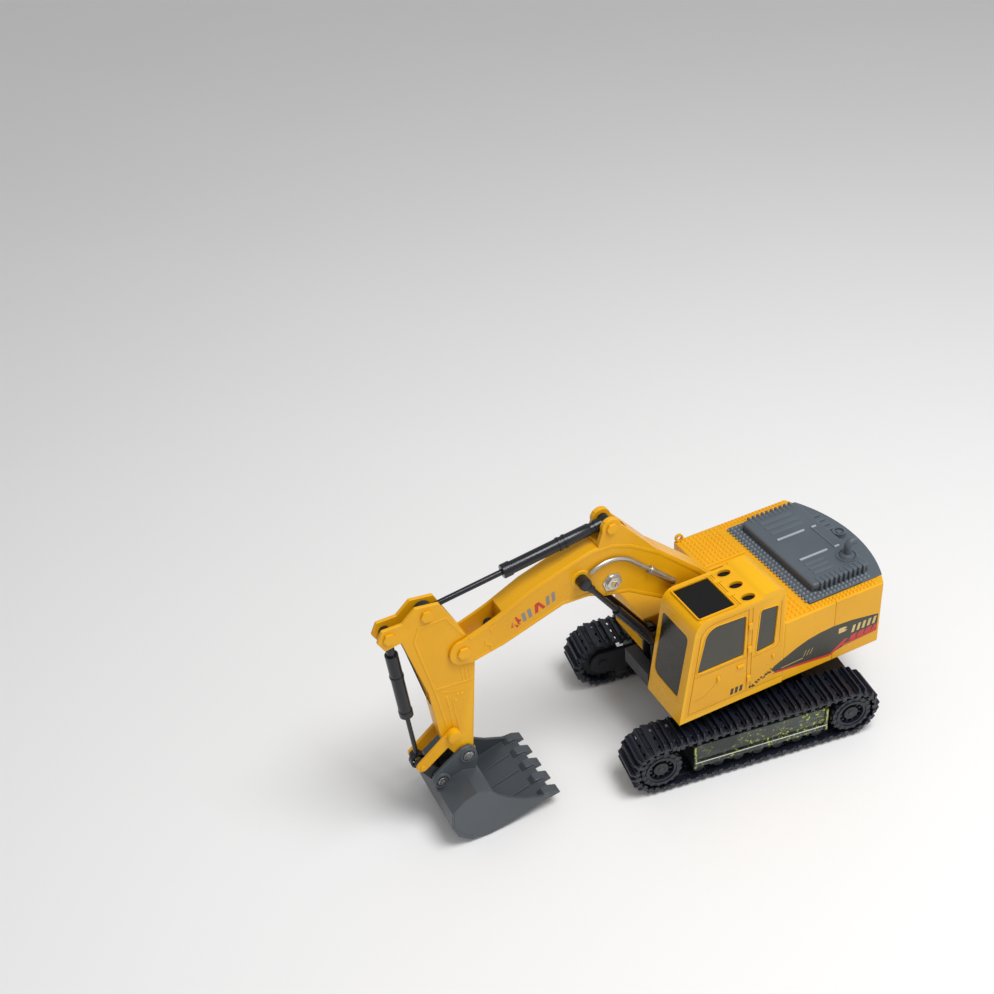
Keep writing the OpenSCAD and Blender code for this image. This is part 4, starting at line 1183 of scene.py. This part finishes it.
def bucket_trim(bm):
    # Ribs and panels on the inner back wall, ribs over the floor, and stiffening edges on the sides
    for y in (-19, -6.4, 6.4, 19):
        strip(bm, [(187, 18.4), (185.4, 27), (178.6, 32.2), (170, 34.2)], 1.2, y - 0.6, y + 0.6)
    for y in (-12.7, 0, 12.7):
        strip(bm, [(186.6, 19.4), (184.8, 26.4), (178.2, 31.6), (173.4, 33)], 1.6, y - 4.2, y + 4.2)
    for y in (-13.4, 0, 13.4):
        strip(bm, [(183.6, 9.6), (178.6, 4.9), (168, 3.3), (154, 5.3), (136, 10.2)], 0.7, y - 0.6, y + 0.6)
    for s in (1, -1):
        strip(bm, [(186.4, 28), (187.6, 18.6), (184.6, 10.2), (178, 4.4)], 1.3, *span(s, 26.6, 27.25))


BUCKET_SCREWS = [(s, p) for s in (1, -1) for p in (BUCKET_PIN, LINK_PIN)]


def bucket_washers(bm):
    for s, p in BUCKET_SCREWS:
        disc(bm, p, 5.0, s * 7.2, s * 7.9, n=36)
        strip(bm, ring_points(p, 4.2, 36), 1.0, *span(s, 7.6, 8.6), closed=True)


def screw_heads(bm):
    for s, p in BUCKET_SCREWS:
        disc(bm, p, 2.6, s * 7.6, s * 8.9, n=28, soft=0.5)


def cross_slots(bm):
    # The two slots start at slightly different depths, so that their faces never coincide
    for s, (x, z) in BUCKET_SCREWS:
        y0, y1 = span(s, 8.5, 9.6)
        strip(bm, [(x - 1.5, z - 0.7), (x + 1.5, z + 0.7)], 0.6, y0, y1)
        strip(bm, [(x - 0.7, z + 1.5), (x + 0.7, z - 1.5)], 0.6, y0 + 0.01, y1)


piece("bucket_trim", bucket_trim, "bucket_body", bucket_grey, 0.2)
piece("bucket_washers", bucket_washers, "bucket_body", bucket_grey, 0.2)
carve(piece("bucket_screw_heads", screw_heads, "bucket_body", steel), cross_slots)


# ---------- Small house pieces ----------

def deck_lugs(bm):
    # Lifting ring with its foot, and the rail along the bay, on the right deck
    y0, y1 = span(-1, HALF - 0.6, HALF - 2.6)
    strip(bm, ring_points((-3, DECK + 2.4), 2.2, 20), 1.2, y0, y1, closed=True)
    bar(bm, -4.4, -1.6, y0, y1, DECK - 0.4, DECK + 0.8)
    bar(bm, -30.4, 0, -17.2, -15.8, DECK - ROOT, DECK + 0.8)


piece("deck_lugs", deck_lugs, "house", yellow, 0.3)


# ---------- Light and floor ----------

def add_light(name, energy, size, place):
    """A square lamp, in metres, that shines on the middle of the machine."""
    aim = Vector((0, 0, 0.05))
    data = bpy.data.lights.new(name, "AREA")
    data.energy = energy
    data.size = size
    ob = bpy.data.objects.new(name, data)
    scene.collection.objects.link(ob)
    ob.location = Vector(place)
    ob.rotation_euler = (aim - Vector(place)).to_track_quat("-Z", "Y").to_euler()


def add_stage():
    """A white room, a plain pale floor, and two soft lamps."""
    world = bpy.data.worlds.new("room")
    scene.world = world
    world.use_nodes = True
    background = world.node_tree.nodes["Background"]
    background.inputs["Color"].default_value = (1, 1, 1, 1)
    background.inputs["Strength"].default_value = 0.46
    bm = bmesh.new()
    bmesh.ops.create_grid(bm, x_segments=1, y_segments=1, size=4)
    me = bpy.data.meshes.new("floor")
    bm.to_mesh(me)
    bm.free()
    floor = bpy.data.objects.new("floor", me)
    scene.collection.objects.link(floor)
    paper = Nodes("floor", (0.86, 0.86, 0.86), 0.7)
    paper.colour(paper.mix(paper.noise(3), (0.85, 0.85, 0.85), (0.88, 0.88, 0.88)))
    me.materials.append(paper.mat)
    add_light("key", 9.5, 0.5, (-0.25, 0.35, 1.1))
    add_light("fill", 1.6, 1.0, (-0.9, 0.9, 0.5))
    scene.view_settings.view_transform = "Standard"


add_stage()
